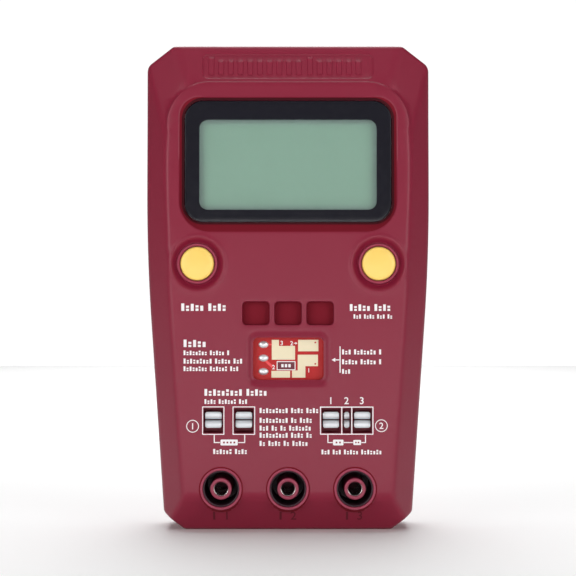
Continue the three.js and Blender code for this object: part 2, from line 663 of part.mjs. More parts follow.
// The 1 W discharge resistor lies along x with its two wires bent up into the board.
function dischargeResistor() {
  const [x, y, z] = [-17.4, -40, 18.8];
  const [bodyRadius, bodyLength] = [2, 11];
  const [wireRadius, wireLength, facets] = [0.4, 18, 8];
  const along = (radius, length, sides) => {
    const rod = new THREE.CylinderGeometry(radius, radius, length, sides);
    return solid(rod.rotateZ(Math.PI / 2).translate(x, y, z));
  };
  const bend = wireLength / 2 - 0.3;
  return joined([
    along(bodyRadius, bodyLength, SMALL_RING),
    along(wireRadius, wireLength, facets),
    ...[-bend, bend].map((reach) => disc(x + reach, y, wireRadius, z - 0.3, under, facets)),
  ]);
}
add("discharge_resistor", dischargeResistor(), resistorBlue);

// ---- battery, its snap connector and leads ----
const batteryZ = (BATTERY.bottom + BATTERY.top) / 2;
function acrossPlate(height, depth, radius, x0, x1, curveSegments = 2) {
  const outline = roundedBox(BATTERY.y, batteryZ, height, depth, radius);
  return acrossX(outline, (x0 + x1) / 2, x1 - x0, curveSegments);
}
function stud(y, radius, x0, x1, facets = SMALL_RING) {
  const round = new THREE.CylinderGeometry(radius, radius, x1 - x0, facets);
  return solid(round.rotateZ(Math.PI / 2).translate((x0 + x1) / 2, y, batteryZ));
}
const plusY = BATTERY.y - STUDS.offset;
const minusY = BATTERY.y + STUDS.offset;
const batteryDepth = BATTERY.top - BATTERY.bottom;
const studStart = BATTERY.x1 + THIN_GAP;
const studEnd = studStart + STUDS.height;
const cell = acrossPlate(BATTERY.width, batteryDepth, BATTERY.radius, BATTERY.x0, BATTERY.x1);
add("battery", cell, batterySleeve);
add("battery_plus_stud", stud(plusY, STUDS.plus, studStart, studEnd), nickel);
add("battery_minus_stud", stud(minusY, STUDS.minus, studStart, studEnd, 6), nickel);

function snapConnector() {
  const { width, depth, radius, start, end, play } = SNAP;
  return without(acrossPlate(width, depth, radius, studStart + start, studStart + end, 3), [
    stud(plusY, STUDS.plus + play, studStart - 1, studEnd + 0.4),
    stud(minusY, STUDS.minus + play + 0.1, studStart - 1, studEnd + 0.4),
  ]);
}
add("snap_connector", snapConnector(), black);

// Each lead leaves the snap connector, climbs the bay's end and ends under the main board.
function lead(y, boardY) {
  const start = studStart + SNAP.end + THIN_GAP;
  const route = new THREE.CatmullRomCurve3([
    new THREE.Vector3(start, y, 11.4),
    new THREE.Vector3(LEAD.x, y, 12),
    new THREE.Vector3(LEAD.x + 0.2, (y + boardY) / 2, 15.4),
    new THREE.Vector3(29.4, boardY, 17.2),
    new THREE.Vector3(LEAD.boardX - 0.3, boardY, 18.6),
    new THREE.Vector3(LEAD.boardX, boardY, under),
  ]);
  const section = new THREE.Shape();
  section.absarc(0, 0, LEAD.radius, 0, 2 * Math.PI);
  const settings = { extrudePath: route, steps: 14, curveSegments: 4, bevelEnabled: false };
  return solid(new THREE.ExtrudeGeometry(section, settings));
}
add("battery_lead_red", lead(-15.5, -16.5), leadRed);
add("battery_lead_black", lead(-9.5, -11.5), black);

// ---- stand the tester on its bottom end, centred in depth, facing -Y ----
tester.rotation.x = Math.PI / 2;
tester.position.set(0, BUTTON_TOP_Z / 2, TOP);
const part = new THREE.Group();
part.add(tester);
export default part;
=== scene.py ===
"""Looks of the component tester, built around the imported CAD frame.

Shapes are worked out in the case's own frame, in millimetres: x across, y towards the display
end and z from the rear face to the front face, with the middle of the rear face at the origin.
place() turns that into the row frame.
"""
import math

import bmesh
import bpy
import numpy as np
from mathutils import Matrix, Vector
from mathutils.geometry import delaunay_2d_cdt


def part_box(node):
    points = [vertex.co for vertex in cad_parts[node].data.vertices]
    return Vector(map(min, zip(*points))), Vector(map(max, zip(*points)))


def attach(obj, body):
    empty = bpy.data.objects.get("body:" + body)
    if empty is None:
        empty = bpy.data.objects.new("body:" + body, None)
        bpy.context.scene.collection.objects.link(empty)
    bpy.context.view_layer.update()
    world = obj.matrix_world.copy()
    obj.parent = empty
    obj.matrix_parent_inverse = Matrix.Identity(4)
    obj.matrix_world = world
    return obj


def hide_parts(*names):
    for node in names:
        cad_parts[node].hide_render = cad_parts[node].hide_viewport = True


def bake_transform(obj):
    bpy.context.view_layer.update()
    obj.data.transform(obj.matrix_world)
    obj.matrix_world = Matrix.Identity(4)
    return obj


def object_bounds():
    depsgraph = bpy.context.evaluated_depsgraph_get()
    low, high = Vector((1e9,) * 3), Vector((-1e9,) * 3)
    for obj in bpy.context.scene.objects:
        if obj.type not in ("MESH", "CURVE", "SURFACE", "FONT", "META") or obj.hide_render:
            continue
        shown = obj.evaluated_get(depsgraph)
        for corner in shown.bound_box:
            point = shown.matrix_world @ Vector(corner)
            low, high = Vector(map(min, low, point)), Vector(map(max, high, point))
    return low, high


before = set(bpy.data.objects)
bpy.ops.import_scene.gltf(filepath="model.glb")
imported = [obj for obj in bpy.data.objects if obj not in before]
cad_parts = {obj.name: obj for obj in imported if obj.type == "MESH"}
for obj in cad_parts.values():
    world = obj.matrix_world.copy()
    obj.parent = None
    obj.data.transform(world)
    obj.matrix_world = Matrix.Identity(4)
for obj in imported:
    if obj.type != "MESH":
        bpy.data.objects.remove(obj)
cad_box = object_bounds()

MM = 0.001
REAR_Y = cad_box[1].y
MIDDLE_Z = (cad_box[0].z + cad_box[1].z) / 2

# ---- driving dimensions of the case, in millimetres ----
WIDTH = (cad_box[1].x - cad_box[0].x) / MM
HEIGHT = (cad_box[1].z - cad_box[0].z) / MM
SIDE, TOP = WIDTH / 2, HEIGHT / 2
FACE_Z = 33.0
SHOULDER_Z, TOP_SHOULDER_Z = 24.0, 27.0
SEAM_Z, SEAM_GAP = 15.0, 0.3
TONGUE_DEPTH, TONGUE_RISE, TONGUE_PLAY = 1.15, 1.2, 0.15
WALL = 2.2
TILT_START, TILT = 17.0, 0.035
SIDE_RISE, FOOT_RISE, HEAD_RISE = 9 / 6.6, 9 / 10.4, 0.3725
FACET_Z, FACET_ACROSS, FACET_ALONG = 61.66, 0.494, 0.2494
HEAD_STEP, HEAD_START, PANEL_FULL, STEP_FULL = 0.55, 30, 46, 52
EDGE_ROUND = 0.9
REAR_ROUND = 4.0


def place(x, y, z):
    return (x * MM, REAR_Y - z * MM, MIDDLE_Z + y * MM)


class Spot:
    """Where a CAD node is, in the case's own frame."""

    def __init__(self, node):
        low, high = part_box(node)
        self.x0, self.x1 = low.x / MM, high.x / MM
        self.y0, self.y1 = (low.z - MIDDLE_Z) / MM, (high.z - MIDDLE_Z) / MM
        self.z0, self.z1 = (REAR_Y - high.y) / MM, (REAR_Y - low.y) / MM
        self.x, self.y = (self.x0 + self.x1) / 2, (self.y0 + self.y1) / 2
        self.width, self.height = self.x1 - self.x0, self.y1 - self.y0


# ---- outlines ----
def rounded(corners, radii, step=0.45):
    """Points round an anticlockwise convex polygon whose corners are arcs."""
    points = []
    corners = [np.array(c, float) for c in corners]
    for i, corner in enumerate(corners):
        back = corners[i - 1] - corner
        ahead = corners[(i + 1) % len(corners)] - corner
        back, ahead = back / np.linalg.norm(back), ahead / np.linalg.norm(ahead)
        half = math.acos(np.clip(back @ ahead, -1, 1)) / 2
        middle = (back + ahead) / np.linalg.norm(back + ahead)
        centre = corner + middle * radii[i] / math.sin(half)
        reach = radii[i] / math.tan(half)
        start = corner + back * reach - centre
        turn = math.pi - 2 * half
        first = math.atan2(start[1], start[0])
        count = max(4, math.ceil(turn * radii[i] / step))
        for k in range(count + 1):
            angle = first + turn * k / count
            points.append(centre + radii[i] * np.array([math.cos(angle), math.sin(angle)]))
    return resample(np.array(points), step)


def resample(loop, step):
    """Adds points along long straight stretches."""
    points = []
    for a, b in zip(loop, np.roll(loop, -1, axis=0)):
        count = max(1, round(np.linalg.norm(b - a) / step))
        points += [a + (b - a) * k / count for k in range(count)]
    return np.array(points)


def rounded_box(x, y, width, height, radius, step=0.45):
    w, h = width / 2, height / 2
    corners = [(x - w, y - h), (x + w, y - h), (x + w, y + h), (x - w, y + h)]
    return rounded(corners, [radius] * 4, step)


def circle(x, y, radius, count=72):
    angles = np.linspace(0, 2 * math.pi, count, endpoint=False)
    return np.column_stack([x + radius * np.cos(angles), y + radius * np.sin(angles)])


def mirrored(half):
    return [(-x, y) for x, y in half] + half[::-1]


def inset(loop, distance):
    """The loop moved inwards by distance, or outwards where it is negative."""
    along = np.roll(loop, -1, axis=0) - np.roll(loop, 1, axis=0)
    along /= np.linalg.norm(along, axis=1)[:, None] + 1e-12
    return loop + distance * np.column_stack([-along[:, 1], along[:, 0]])


def depth_inside(points, loop):
    """Distance from each point to the loop, positive inside it."""
    best = np.full(len(points), 1e9)
    inside = np.zeros(len(points), bool)
    x, y = points[:, 0], points[:, 1]
    for (ax, ay), (bx, by) in zip(loop, np.roll(loop, -1, axis=0)):
        dx, dy = bx - ax, by - ay
        t = np.clip(((x - ax) * dx + (y - ay) * dy) / (dx * dx + dy * dy + 1e-12), 0, 1)
        best = np.minimum(best, np.hypot(x - ax - t * dx, y - ay - t * dy))
        if ay != by:
            crosses = (ay > y) != (by > y)
            inside ^= crosses & (x < (bx - ax) * (y - ay) / (by - ay) + ax)
    return np.where(inside, best, -best)


CASE_CORNERS = [(34.4, TOP), (SIDE, 66.8), (SIDE, 9.1), (37.3, -67.3), (31.0, -TOP)]
CASE_RADII = [2, 3, 560, 2, 2]
case_outline = rounded(mirrored(CASE_CORNERS), CASE_RADII + CASE_RADII[::-1], 0.6)


def distance(points, spot):
    """How far each point is from a spot's middle, seen from the front."""
    return np.hypot(points[:, 0] - spot.x, points[:, 1] - spot.y)


def level(z):
    """A height field that is flat."""
    return lambda points: np.full(len(points), z)


# ---- relief solids: a closed slab whose two sides are height fields ----
class Relief:
    """A height change round a loop. knots are (depth inside the loop, drop) pairs."""

    def __init__(self, loop, knots):
        self.loop = loop
        self.depths = np.array([k[0] for k in knots], float)
        self.drops = np.array([k[1] for k in knots], float)
        margin = -self.depths[0] + 0.1
        self.low, self.high = loop.min(axis=0) - margin, loop.max(axis=0) + margin

    def rings(self):
        return [inset(self.loop, d) for d in self.depths]

    def drop(self, points):
        near = np.all((points > self.low) & (points < self.high), axis=1)
        drop = np.zeros(len(points))
        if near.any():
            depth = depth_inside(points[near], self.loop)
            drop[near] = np.interp(depth, self.depths, self.drops, left=0)
        return drop


def all_rings(reliefs):
    return [ring for relief in reliefs for ring in relief.rings()]


def all_drops(reliefs, points):
    return sum(relief.drop(points) for relief in reliefs)


def lip(depth, radius=0.35, wall=0.05, steps=4):
    """Knots of a step down with a rounded upper edge."""
    knots = []
    for k in range(steps + 1):
        turn = math.pi / 2 * k / steps
        knots.append((-radius + radius * math.sin(turn), radius * (1 - math.cos(turn))))
    return knots + [(wall, depth)]


def fill_points(outline, height, taken, coarse=1.9, fine=0.5, bend=0.012):
    """A sparse grid, with a dense one wherever the height bends, clear of the taken points."""
    low, high = outline.min(axis=0), outline.max(axis=0)
    cell, row = 0.34, 4096

    def grid(pitch):
        xs, ys = np.arange(low[0], high[0], pitch), np.arange(low[1], high[1], pitch * 0.87)
        gx, gy = np.meshgrid(xs, ys)
        gx[1::2] += pitch / 2
        return np.column_stack([gx.ravel(), gy.ravel()])

    dense = grid(fine)
    around = sum(height(dense + np.array(s) * fine) for s in ((1, 0), (-1, 0), (0, 1), (0, -1)))
    dense = dense[np.abs(around - 4 * height(dense)) > bend]

    def key(points):
        cells = np.floor((points - low) / cell).astype(int)
        return cells[:, 0] * row + cells[:, 1]

    def clear_of(points, others):
        blocked = np.unique(np.concatenate(
            [key(others + cell * np.array([i, j])) for i in (-1, 0, 1) for j in (-1, 0, 1)]))
        return points[~np.isin(key(points), blocked)]

    dense = clear_of(dense, taken)
    sparse = clear_of(grid(coarse), np.vstack([taken, dense]) if len(dense) else taken)
    points = np.vstack([dense, sparse])
    return points[depth_inside(points, outline) > 0.3]


def slab_mesh(outline, rings, holes, top, bottom, bend_height=None):
    """Triangulates the plan once and uses it for both sides, joined by walls.

    A bend_height adds points between the loops, where that height bends.
    """
    loops = [outline, *holes, *rings]
    points = np.vstack(loops)
    if bend_height:
        points = np.vstack([points, fill_points(outline, bend_height, points)])
    edges, start = [], 0
    for loop in loops:
        edges += [(start + i, start + (i + 1) % len(loop)) for i in range(len(loop))]
        start += len(loop)
    flat, _, triangles, *_ = delaunay_2d_cdt([Vector(p) for p in points], edges, [], 0, 1e-4)
    plan = np.array([tuple(v) for v in flat])
    triangles = np.array(triangles)
    centres = plan[triangles].mean(axis=1)
    keep = depth_inside(centres, outline) > 0
    for hole in holes:
        keep &= depth_inside(centres, hole) < 0
    triangles = triangles[keep]
    used, triangles = np.unique(triangles, return_inverse=True)
    plan, triangles = plan[used], triangles.reshape(-1, 3)
    count = len(plan)
    faces = triangles.tolist() + (triangles[:, ::-1] + count).tolist()
    sides = dict.fromkeys(edge for a, b, c in triangles for edge in ((a, b), (b, c), (c, a)))
    faces += [(b, a, a + count, b + count) for a, b in sides if (b, a) not in sides]
    z = np.concatenate([top(plan), bottom(plan)])
    return np.column_stack([np.vstack([plan, plan]), z]), faces


def show(name, data):
    """A new object in the scene."""
    thing = bpy.data.objects.new(name, data)
    bpy.context.scene.collection.objects.link(thing)
    return thing


def settled(thing):
    """The mesh that an object's modifiers or curve settings come to."""
    bpy.context.view_layer.update()
    graph = bpy.context.evaluated_depsgraph_get()
    return bpy.data.meshes.new_from_object(thing.evaluated_get(graph))


def make_piece(name, points, faces, material, sharp=38):
    mesh = bpy.data.meshes.new(name)
    mesh.from_pydata([place(*p) for p in points], [], [list(map(int, f)) for f in faces])
    work = bmesh.new()
    work.from_mesh(mesh)
    bmesh.ops.recalc_face_normals(work, faces=work.faces)
    work.to_mesh(mesh)
    work.free()
    mesh.polygons.foreach_set("use_smooth", [True] * len(mesh.polygons))
    mesh.set_sharp_from_angle(angle=math.radians(sharp))
    mesh.materials.append(material)
    return show(name, mesh)


def curve_mesh(name, curve, material):
    """A curve's mesh in one material, with no curve left behind."""
    holder = show(name, curve)
    mesh = settled(holder)
    bpy.data.objects.remove(holder)
    mesh.materials.clear()
    mesh.materials.append(material)
    return mesh


def soften(piece, width):
    """Rounds a piece's sharp edges by width millimetres."""
    bevel = piece.modifiers.new("edges", "BEVEL")
    bevel.width = width * MM
    bevel.segments = 2
    return bevel


def finish_piece(piece, body, slot, *nodes):
    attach(piece, body)
    if nodes:
        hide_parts(*nodes)
    return piece


def block_tool(*blocks):
    """One mesh of plain blocks, each (x0, x1, y0, y1, z0, z1), to cut with."""
    work = bmesh.new()
    for x0, x1, y0, y1, z0, z1 in blocks:
        for vert in bmesh.ops.create_cube(work, size=1)["verts"]:
            x, y, z = vert.co
            vert.co = place((x0 + x1) / 2 + x * (x1 - x0), (y0 + y1) / 2 + y * (y1 - y0),
                            (z0 + z1) / 2 + z * (z1 - z0))
    mesh = bpy.data.meshes.new("tool")
    work.to_mesh(mesh)
    work.free()
    return mesh


def cut_with(piece, tool_mesh):
    """Cuts a tool's shape out of a piece, and leaves no tool behind."""
    tool = show("tool", tool_mesh)
    change = piece.modifiers.new("cut", "BOOLEAN")
    change.operation = "DIFFERENCE"
    change.solver = "EXACT"
    change.use_self = True
    change.object = tool
    mesh = settled(piece)
    piece.modifiers.clear()
    piece.data = mesh
    bpy.data.objects.remove(tool)


def turned_mesh(x, y, profile, count=72):
    """A body of revolution from [radius, z] pairs, on the axis at both ends or a closed ring."""
    points, faces = [], []
    closed = profile[0] == profile[-1]
    rows = profile[:-1] if closed else profile
    index = []
    for radius, z in rows:
        if radius < 1e-6:
            index.append([len(points)] * count)
            points.append((x, y, z))
            continue
        index.append(list(range(len(points), len(points) + count)))
        for k in range(count):
            angle = 2 * math.pi * k / count
            points.append((x + radius * math.cos(angle), y + radius * math.sin(angle), z))
    pairs = list(zip(index, index[1:])) + ([(index[-1], index[0])] if closed else [])
    for low, high in pairs:
        for k in range(count):
            n = (k + 1) % count
            corners = [low[k], low[n], high[n], high[k]]
            face = list(dict.fromkeys(corners))
            if len(face) > 2:
                faces.append(face)
    return points, faces


def round_over(profile, radius, steps=3):
    """Rounds the inner corners of an open or closed [radius, z] profile."""
    closed = profile[0] == profile[-1]
    ring = profile[:-1] if closed else profile
    result = []
    for i, corner in enumerate(ring):
        if not closed and i in (0, len(ring) - 1):
            result.append(corner)
            continue
        p = Vector(corner)
        back, ahead = Vector(ring[i - 1]) - p, Vector(ring[(i + 1) % len(ring)]) - p
        reach = min(radius, back.length * 0.4, ahead.length * 0.4)
        a, b = p + back.normalized() * reach, p + ahead.normalized() * reach
        for k in range(steps + 1):
            t = k / steps
            spot = a * (1 - t) ** 2 + p * 2 * t * (1 - t) + b * t * t
            result.append((spot.x, spot.y))
    return result + [result[0]] if closed else result


# ---- materials ----
def new_material(name, color, roughness, metallic=0.0):
    material = bpy.data.materials.new(name)
    material.use_nodes = True
    shader = material.node_tree.nodes["Principled BSDF"]
    shader.inputs["Base Color"].default_value = (*color, 1)
    shader.inputs["Roughness"].default_value = roughness
    shader.inputs["Metallic"].default_value = metallic
    return material, shader


def add_node(tree, kind, values=(), **settings):
    """A shader node with its settings and input values filled in."""
    node = tree.nodes.new(kind)
    for name, value in settings.items():
        setattr(node, name, value)
    for socket, value in dict(values).items():
        node.inputs[socket].default_value = value
    return node


def noise(tree, scale, detail=3.0):
    where = add_node(tree, "ShaderNodeTexCoord")
    texture = add_node(tree, "ShaderNodeTexNoise", {"Scale": scale, "Detail": detail})
    tree.links.new(where.outputs["Object"], texture.inputs["Vector"])
    return texture.outputs["Fac"]


def spread(tree, value, low, high):
    """Stretches the middle of a noise over the range from low to high."""
    mapped = add_node(tree, "ShaderNodeMapRange",
                      {"From Min": 0.3, "From Max": 0.7, "To Min": low, "To Max": high})
    tree.links.new(value, mapped.inputs["Value"])
    return mapped.outputs["Result"]


def add_bump(tree, shader, grain, relief):
    """Fine grain, relief millimetres high."""
    bump = add_node(tree, "ShaderNodeBump", {"Strength": 1.0, "Distance": relief * MM})
    tree.links.new(noise(tree, grain), bump.inputs["Height"])
    tree.links.new(bump.outputs["Normal"], shader.inputs["Normal"])


def add_surface(material, shader, grain, relief, shift, rough, blotch=40):
    """Grain as bump, a slow change of shade, and a roughness that varies."""
    tree = material.node_tree
    add_bump(tree, shader, grain, relief)
    base = tuple(shader.inputs["Base Color"].default_value)[:3]
    darker = (*[c * (1 - shift) for c in base], 1)
    paler = (*[min(1, c * (1 + shift)) for c in base], 1)
    mix = add_node(tree, "ShaderNodeMix", {"A": darker, "B": paler}, data_type="RGBA")
    tree.links.new(noise(tree, blotch, 5.0), mix.inputs["Factor"])
    tree.links.new(mix.outputs["Result"], shader.inputs["Base Color"])
    middle = shader.inputs["Roughness"].default_value
    varied = spread(tree, noise(tree, grain * 0.4), middle - rough, middle + rough)
    tree.links.new(varied, shader.inputs["Roughness"])
    return material


def surfaced(name, color, roughness, metallic=0.0, grain=2500, relief=0.01, shift=0.05, rough=0.05,
             gloss=0.5):
    """A material with a grain of its own. rough is how far the roughness varies."""
    material, shader = new_material(name, color, roughness, metallic)
    shader.inputs["Specular IOR Level"].default_value = gloss
    return add_surface(material, shader, grain, relief, shift, rough)


case_red = surfaced("case_red_plastic", (0.226, 0.0095, 0.033), 0.4, 0, 3200, 0.006, 0.04, 0.04, 0.38)
# painted shade: a darker, matt copy of the case red, put on recess walls, pocket floors and boss sides in
# place of the shade that falls there
painted_shade_red = surfaced("painted_shade_red_plastic", (0.19, 0.008, 0.019), 0.7, 0, 3200, 0.006, 0.04, 0.04, 0.1)
# painted shadow: a near-black red for the band of shade next to the lens
painted_lens_shadow_red = surfaced("shaded_painted_lens_shadow_red", (0.055, 0.006, 0.01), 0.7, 0, 3200, 0.006, 0.04, 0.04, 0.1)
# painted highlight: a paler red for the raised rings round the buttons and sockets, standing in for the
# light they catch
painted_highlight_red = surfaced("painted_highlight_ring_red", (0.3, 0.034, 0.072), 0.5, 0, 2600, 0.012, 0.05, 0.05, 0.4)
post_red = surfaced("post_red_plastic", (0.27, 0.02, 0.055), 0.4, 0, 2600, 0.008, 0.05, 0.04)
# painted shade: a dark red for the sunk marks, drawn as thin sheets on the surface
painted_deboss_shade_red = surfaced("painted_sunk_mark_shade_red", (0.1, 0.006, 0.014), 0.6, 0, 3200, 0.02, 0.06, 0.05, 0.3)
cap_yellow = surfaced("cap_yellow_plastic", (0.97, 0.655, 0.15), 0.38, 0, 2600, 0.006, 0.03, 0.05)
black_plastic = surfaced("black_plastic", (0.012, 0.01, 0.013), 0.45, 0, 2200, 0.01, 0.1, 0.06, 0.3)
# painted light: a dark reddish liner plastic, made paler than the black plastic to make up for the light
# the deep socket annulus lacks
painted_light_liner_black = surfaced("painted_light_liner_black", (0.05, 0.022, 0.032), 0.45, 0, 2200, 0.01, 0.1, 0.06, 0.4)
block_red = surfaced("clip_block_plastic", (0.34, 0.018, 0.045), 0.55, 0, 2200, 0.01, 0.1, 0.06)
ink_black = surfaced("lens_border_ink", (0.008, 0.0075, 0.013), 0.2, 0, 1800, 0.002, 0.08, 0.04, 0.45)
print_white = surfaced("print_white_ink", (0.86, 0.84, 0.85), 0.55, 0, 5200, 0.004, 0.04, 0.06)
white_plastic = surfaced("white_plastic", (0.8, 0.82, 0.82), 0.45)
mask_red = surfaced("pad_board_mask", (0.46, 0.011, 0.012), 0.46, 0, 1500, 0.004, 0.05, 0.05, 0.3)
mask_dark = surfaced("board_under_mask", (0.14, 0.008, 0.022), 0.46, 0, 1500, 0.004, 0.05, 0.05)
mask_light = surfaced("trace_under_mask", (0.8, 0.06, 0.07), 0.4, 0, 1500, 0.004, 0.06, 0.05)
mask_green = surfaced("board_green_mask", (0.015, 0.11, 0.04), 0.3, 0, 1500, 0.004, 0.12, 0.06)
pad_gold = surfaced("pad_plating", (0.8, 0.71, 0.5), 0.5, 0.15, 2600, 0.008, 0.05, 0.06)
solder = surfaced("solder", (0.78, 0.77, 0.79), 0.36, 0.7, 1200, 0.008, 0.06, 0.06)
tinned = surfaced("tinned_spring", (0.74, 0.77, 0.8), 0.46, 0.55, 1800, 0.002, 0.04, 0.04)
nickel = surfaced("nickel_plate", (0.62, 0.6, 0.58), 0.22, 1.0, 1600, 0.003, 0.05, 0.06)
zinc = surfaced("zinc_plated_steel", (0.5, 0.51, 0.53), 0.34, 1.0, 1800, 0.006, 0.08, 0.08)
resistor_blue = surfaced("resistor_lacquer", (0.1, 0.26, 0.46), 0.38)
capacitor_sleeve = surfaced("capacitor_sleeve", (0.014, 0.02, 0.045), 0.32)
battery_sleeve = surfaced("battery_sleeve", (0.035, 0.038, 0.044), 0.3, 0, 900, 0.004, 0.1, 0.07)
wire_red = surfaced("wire_red", (0.42, 0.012, 0.012), 0.42)
wire_black = surfaced("wire_black", (0.014, 0.014, 0.015), 0.42)


def display_green():
    """The blank display, with painted shade that makes it a little darker and bluer towards its edges."""
    material, shader = new_material("display_green", (0.3, 0.46, 0.37), 0.32)
    tree = material.node_tree
    where = add_node(tree, "ShaderNodeTexCoord")
    split = add_node(tree, "ShaderNodeSeparateXYZ")
    tree.links.new(where.outputs["Object"], split.inputs["Vector"])
    edge = add_node(tree, "ShaderNodeMath", operation="MAXIMUM")
    glass = Spot("lcd_glass")
    spans = (("X", glass.x * MM, 26.4), ("Z", MIDDLE_Z + (glass.y - 1) * MM, 13.4))
    for n, (axis, middle, half) in enumerate(spans):
        shifted = add_node(tree, "ShaderNodeMath", {1: middle}, operation="SUBTRACT")
        tree.links.new(split.outputs[axis], shifted.inputs[0])
        size = add_node(tree, "ShaderNodeMath", operation="ABSOLUTE")
        tree.links.new(shifted.outputs[0], size.inputs[0])
        near = add_node(tree, "ShaderNodeMapRange",
                        {"From Min": (half - 2.2) * MM, "From Max": (half + 0.4) * MM},
                        interpolation_type="SMOOTHSTEP")
        tree.links.new(size.outputs[0], near.inputs["Value"])
        tree.links.new(near.outputs["Result"], edge.inputs[n])
    # painted shade: the green darkens towards the edges, where the lens border would shade it
    green, painted_edge_shade_green = (0.2, 0.385, 0.28, 1), (0.16, 0.28, 0.24, 1)
    mix = add_node(tree, "ShaderNodeMix", {"A": green, "B": painted_edge_shade_green}, data_type="RGBA")
    tree.links.new(edge.outputs[0], mix.inputs["Factor"])
    tree.links.new(mix.outputs["Result"], shader.inputs["Base Color"])
    add_bump(tree, shader, 2400, 0.002)
    tree.links.new(spread(tree, noise(tree, 600), 0.28, 0.36), shader.inputs["Roughness"])
    return material


def clear_window():
    material, shader = new_material("clear_window", (0.5, 0.55, 0.53), 0.08)
    shader.inputs["Alpha"].default_value = 0.1
    tree = material.node_tree
    tree.links.new(spread(tree, noise(tree, 300), 0.06, 0.1), shader.inputs["Roughness"])
    return material


# ---- front shell ----
lens, caps = Spot("display_lens"), [Spot("left_button_cap"), Spot("right_button_cap")]
jacks = [Spot(f"jack_{i}_sleeve") for i in (1, 2, 3)]
SOCKET_NAMES = ["port1_left", "port1_right", "port2_pin1", "port2_pin2", "port2_pin3"]
leaves = {name: [Spot(f"{name}_{half}_leaf") for half in ("upper", "lower")] for name in SOCKET_NAMES}
PAD_CENTRE, PAD_RIM, PAD_WINDOW = (0.1, -21.3), (24.6, 16.2), (21.0, 12.6)
CAP_RADIUS, BORE_RADIUS, RIM_RADIUS, WELL_RADIUS = 4.95, 5.15, 6.0, 7.5
BOSS_RADIUS, SHROUD_RADIUS, JACK_TOP, BOSS_SLOPE = 6.15, 5.4, FACE_Z + 0.5, 4.0
BOSS_REACH, SHROUD_FOOT, FACE_WALL, DISPLAY_CEILING = 2.5, 12.0, 3.4, 27.9
BOSS_RINGS = (5.46, 5.54, 5.65, 6.1, 6.2, 6.3, 6.55, 6.8, 7.05, 7.3, 7.6)

RIM_HALF = [(32.5, 56.8), (32.5, 16.1)]
display_rim = rounded(mirrored(RIM_HALF), [6, 9.5, 9.5, 6])
lens_hole = rounded_box(lens.x, lens.y, lens.width + 0.3, lens.height + 0.3, 5.6)
FACE_CORNERS = [(35.9, 61.0), (35.9, 2.2), (31.6, -62.2)]
face_outline = rounded(mirrored(FACE_CORNERS), [12.5, 440, 3.5, 3.5, 440, 12.5], 0.6)
# width of the painted shadow band round the lens
LENS_SHADOW_BAND = 0.7


def smooth_least(a, b, blend):
    h = np.clip(0.5 + 0.5 * (b - a) / blend, 0, 1)
    return b * (1 - h) + a * h - blend * h * (1 - h)


def smooth_most(a, b, blend):
    return -smooth_least(-a, -b, blend)


def soft_step(value, start, end):
    t = np.clip((value - start) / (end - start), 0, 1)
    return t * t * (3 - 2 * t)


def half_width(y):
    """The case's half width, straight above and tapering below a wide bend."""
    bend_y, bend, taper = 9.1, 19.1, 0.0681
    along = np.clip((bend_y + bend - y) / (2 * bend), 0, None)
    curved = np.where(along < 1, along ** 2 * bend, (2 * along - 1) * bend)
    return SIDE - curved * taper


def face_height(y):
    lean = np.maximum(0, y - TILT_START)
    return FACE_Z - lean * TILT


def body_height(points):
    """The bare outer form: a face, four slopes and two corner facets, softly blended.

    Towards the head the face is a raised panel that ends in a small rounded step.
    """
    x, y = np.abs(points[:, 0]), points[:, 1]
    side = SHOULDER_Z + (half_width(y) - x) * SIDE_RISE
    foot = SHOULDER_Z + (y + TOP) * FOOT_RISE
    head = TOP_SHOULDER_Z + (TOP - y) * HEAD_RISE
    facet = FACET_Z - FACET_ACROSS * x - FACET_ALONG * y
    step = HEAD_STEP * soft_step(y, HEAD_START, STEP_FULL)
    slopes = smooth_least(smooth_least(head, side, 1.5), facet, 1.2) - step
    face = face_height(y)
    around = smooth_least(face - step, slopes, 1.2)
    inside = depth_inside(points, face_outline)
    panel = smooth_least(face, face + 2.2 * inside, 0.6)
    raised = smooth_most(around, panel, 0.25)
    blend = soft_step(y, HEAD_START, PANEL_FULL)
    z = around * (1 - blend) + raised * blend
    return smooth_least(z, foot, 1.6)


def edge_drop(depth, radius):
    inner = np.clip(radius - depth, 0, radius)
    return radius - np.sqrt(np.maximum(radius ** 2 - inner ** 2, 0))


def button_reliefs(cap):
    knots = [(-1.9, 0), (-1.5, -0.05), (-1.1, -0.17), (-0.8, -0.22), (-0.5, -0.16), (-0.2, 0.03),
             (0.1, 0.3), (0.4, 0.62), (0.75, 1.0), (1.0, 1.2), (1.25, 1.25), (1.4, 1.0), (1.47, 0.5),
             (1.55, 0.16), (1.75, 0.02), (2.0, 0.05), (2.3, 0.35)]
    return Relief(circle(cap.x, cap.y, WELL_RADIUS, 96), knots)


def plate_marks():
    """A sunk plate in the head slope, with a row of plain ribs standing in it."""
    plate = rounded_box(0, 66.1, 51, 7.6, 1.6)
    ribs = []
    for start, count in ((-22.9, 10), (6.6, 6)):
        for n in range(count):
            tall = 5.4 if n == 0 else 4.3
            ribs.append(rounded_box(start + 2.9 * n, 63.5 + tall / 2, 1.5, tall, 0.3, 0.35))
    return Relief(plate, lip(0.3, 0.15, 0.2, 2)), [Relief(r, [(-0.12, 0), (0.08, -0.22)]) for r in ribs]


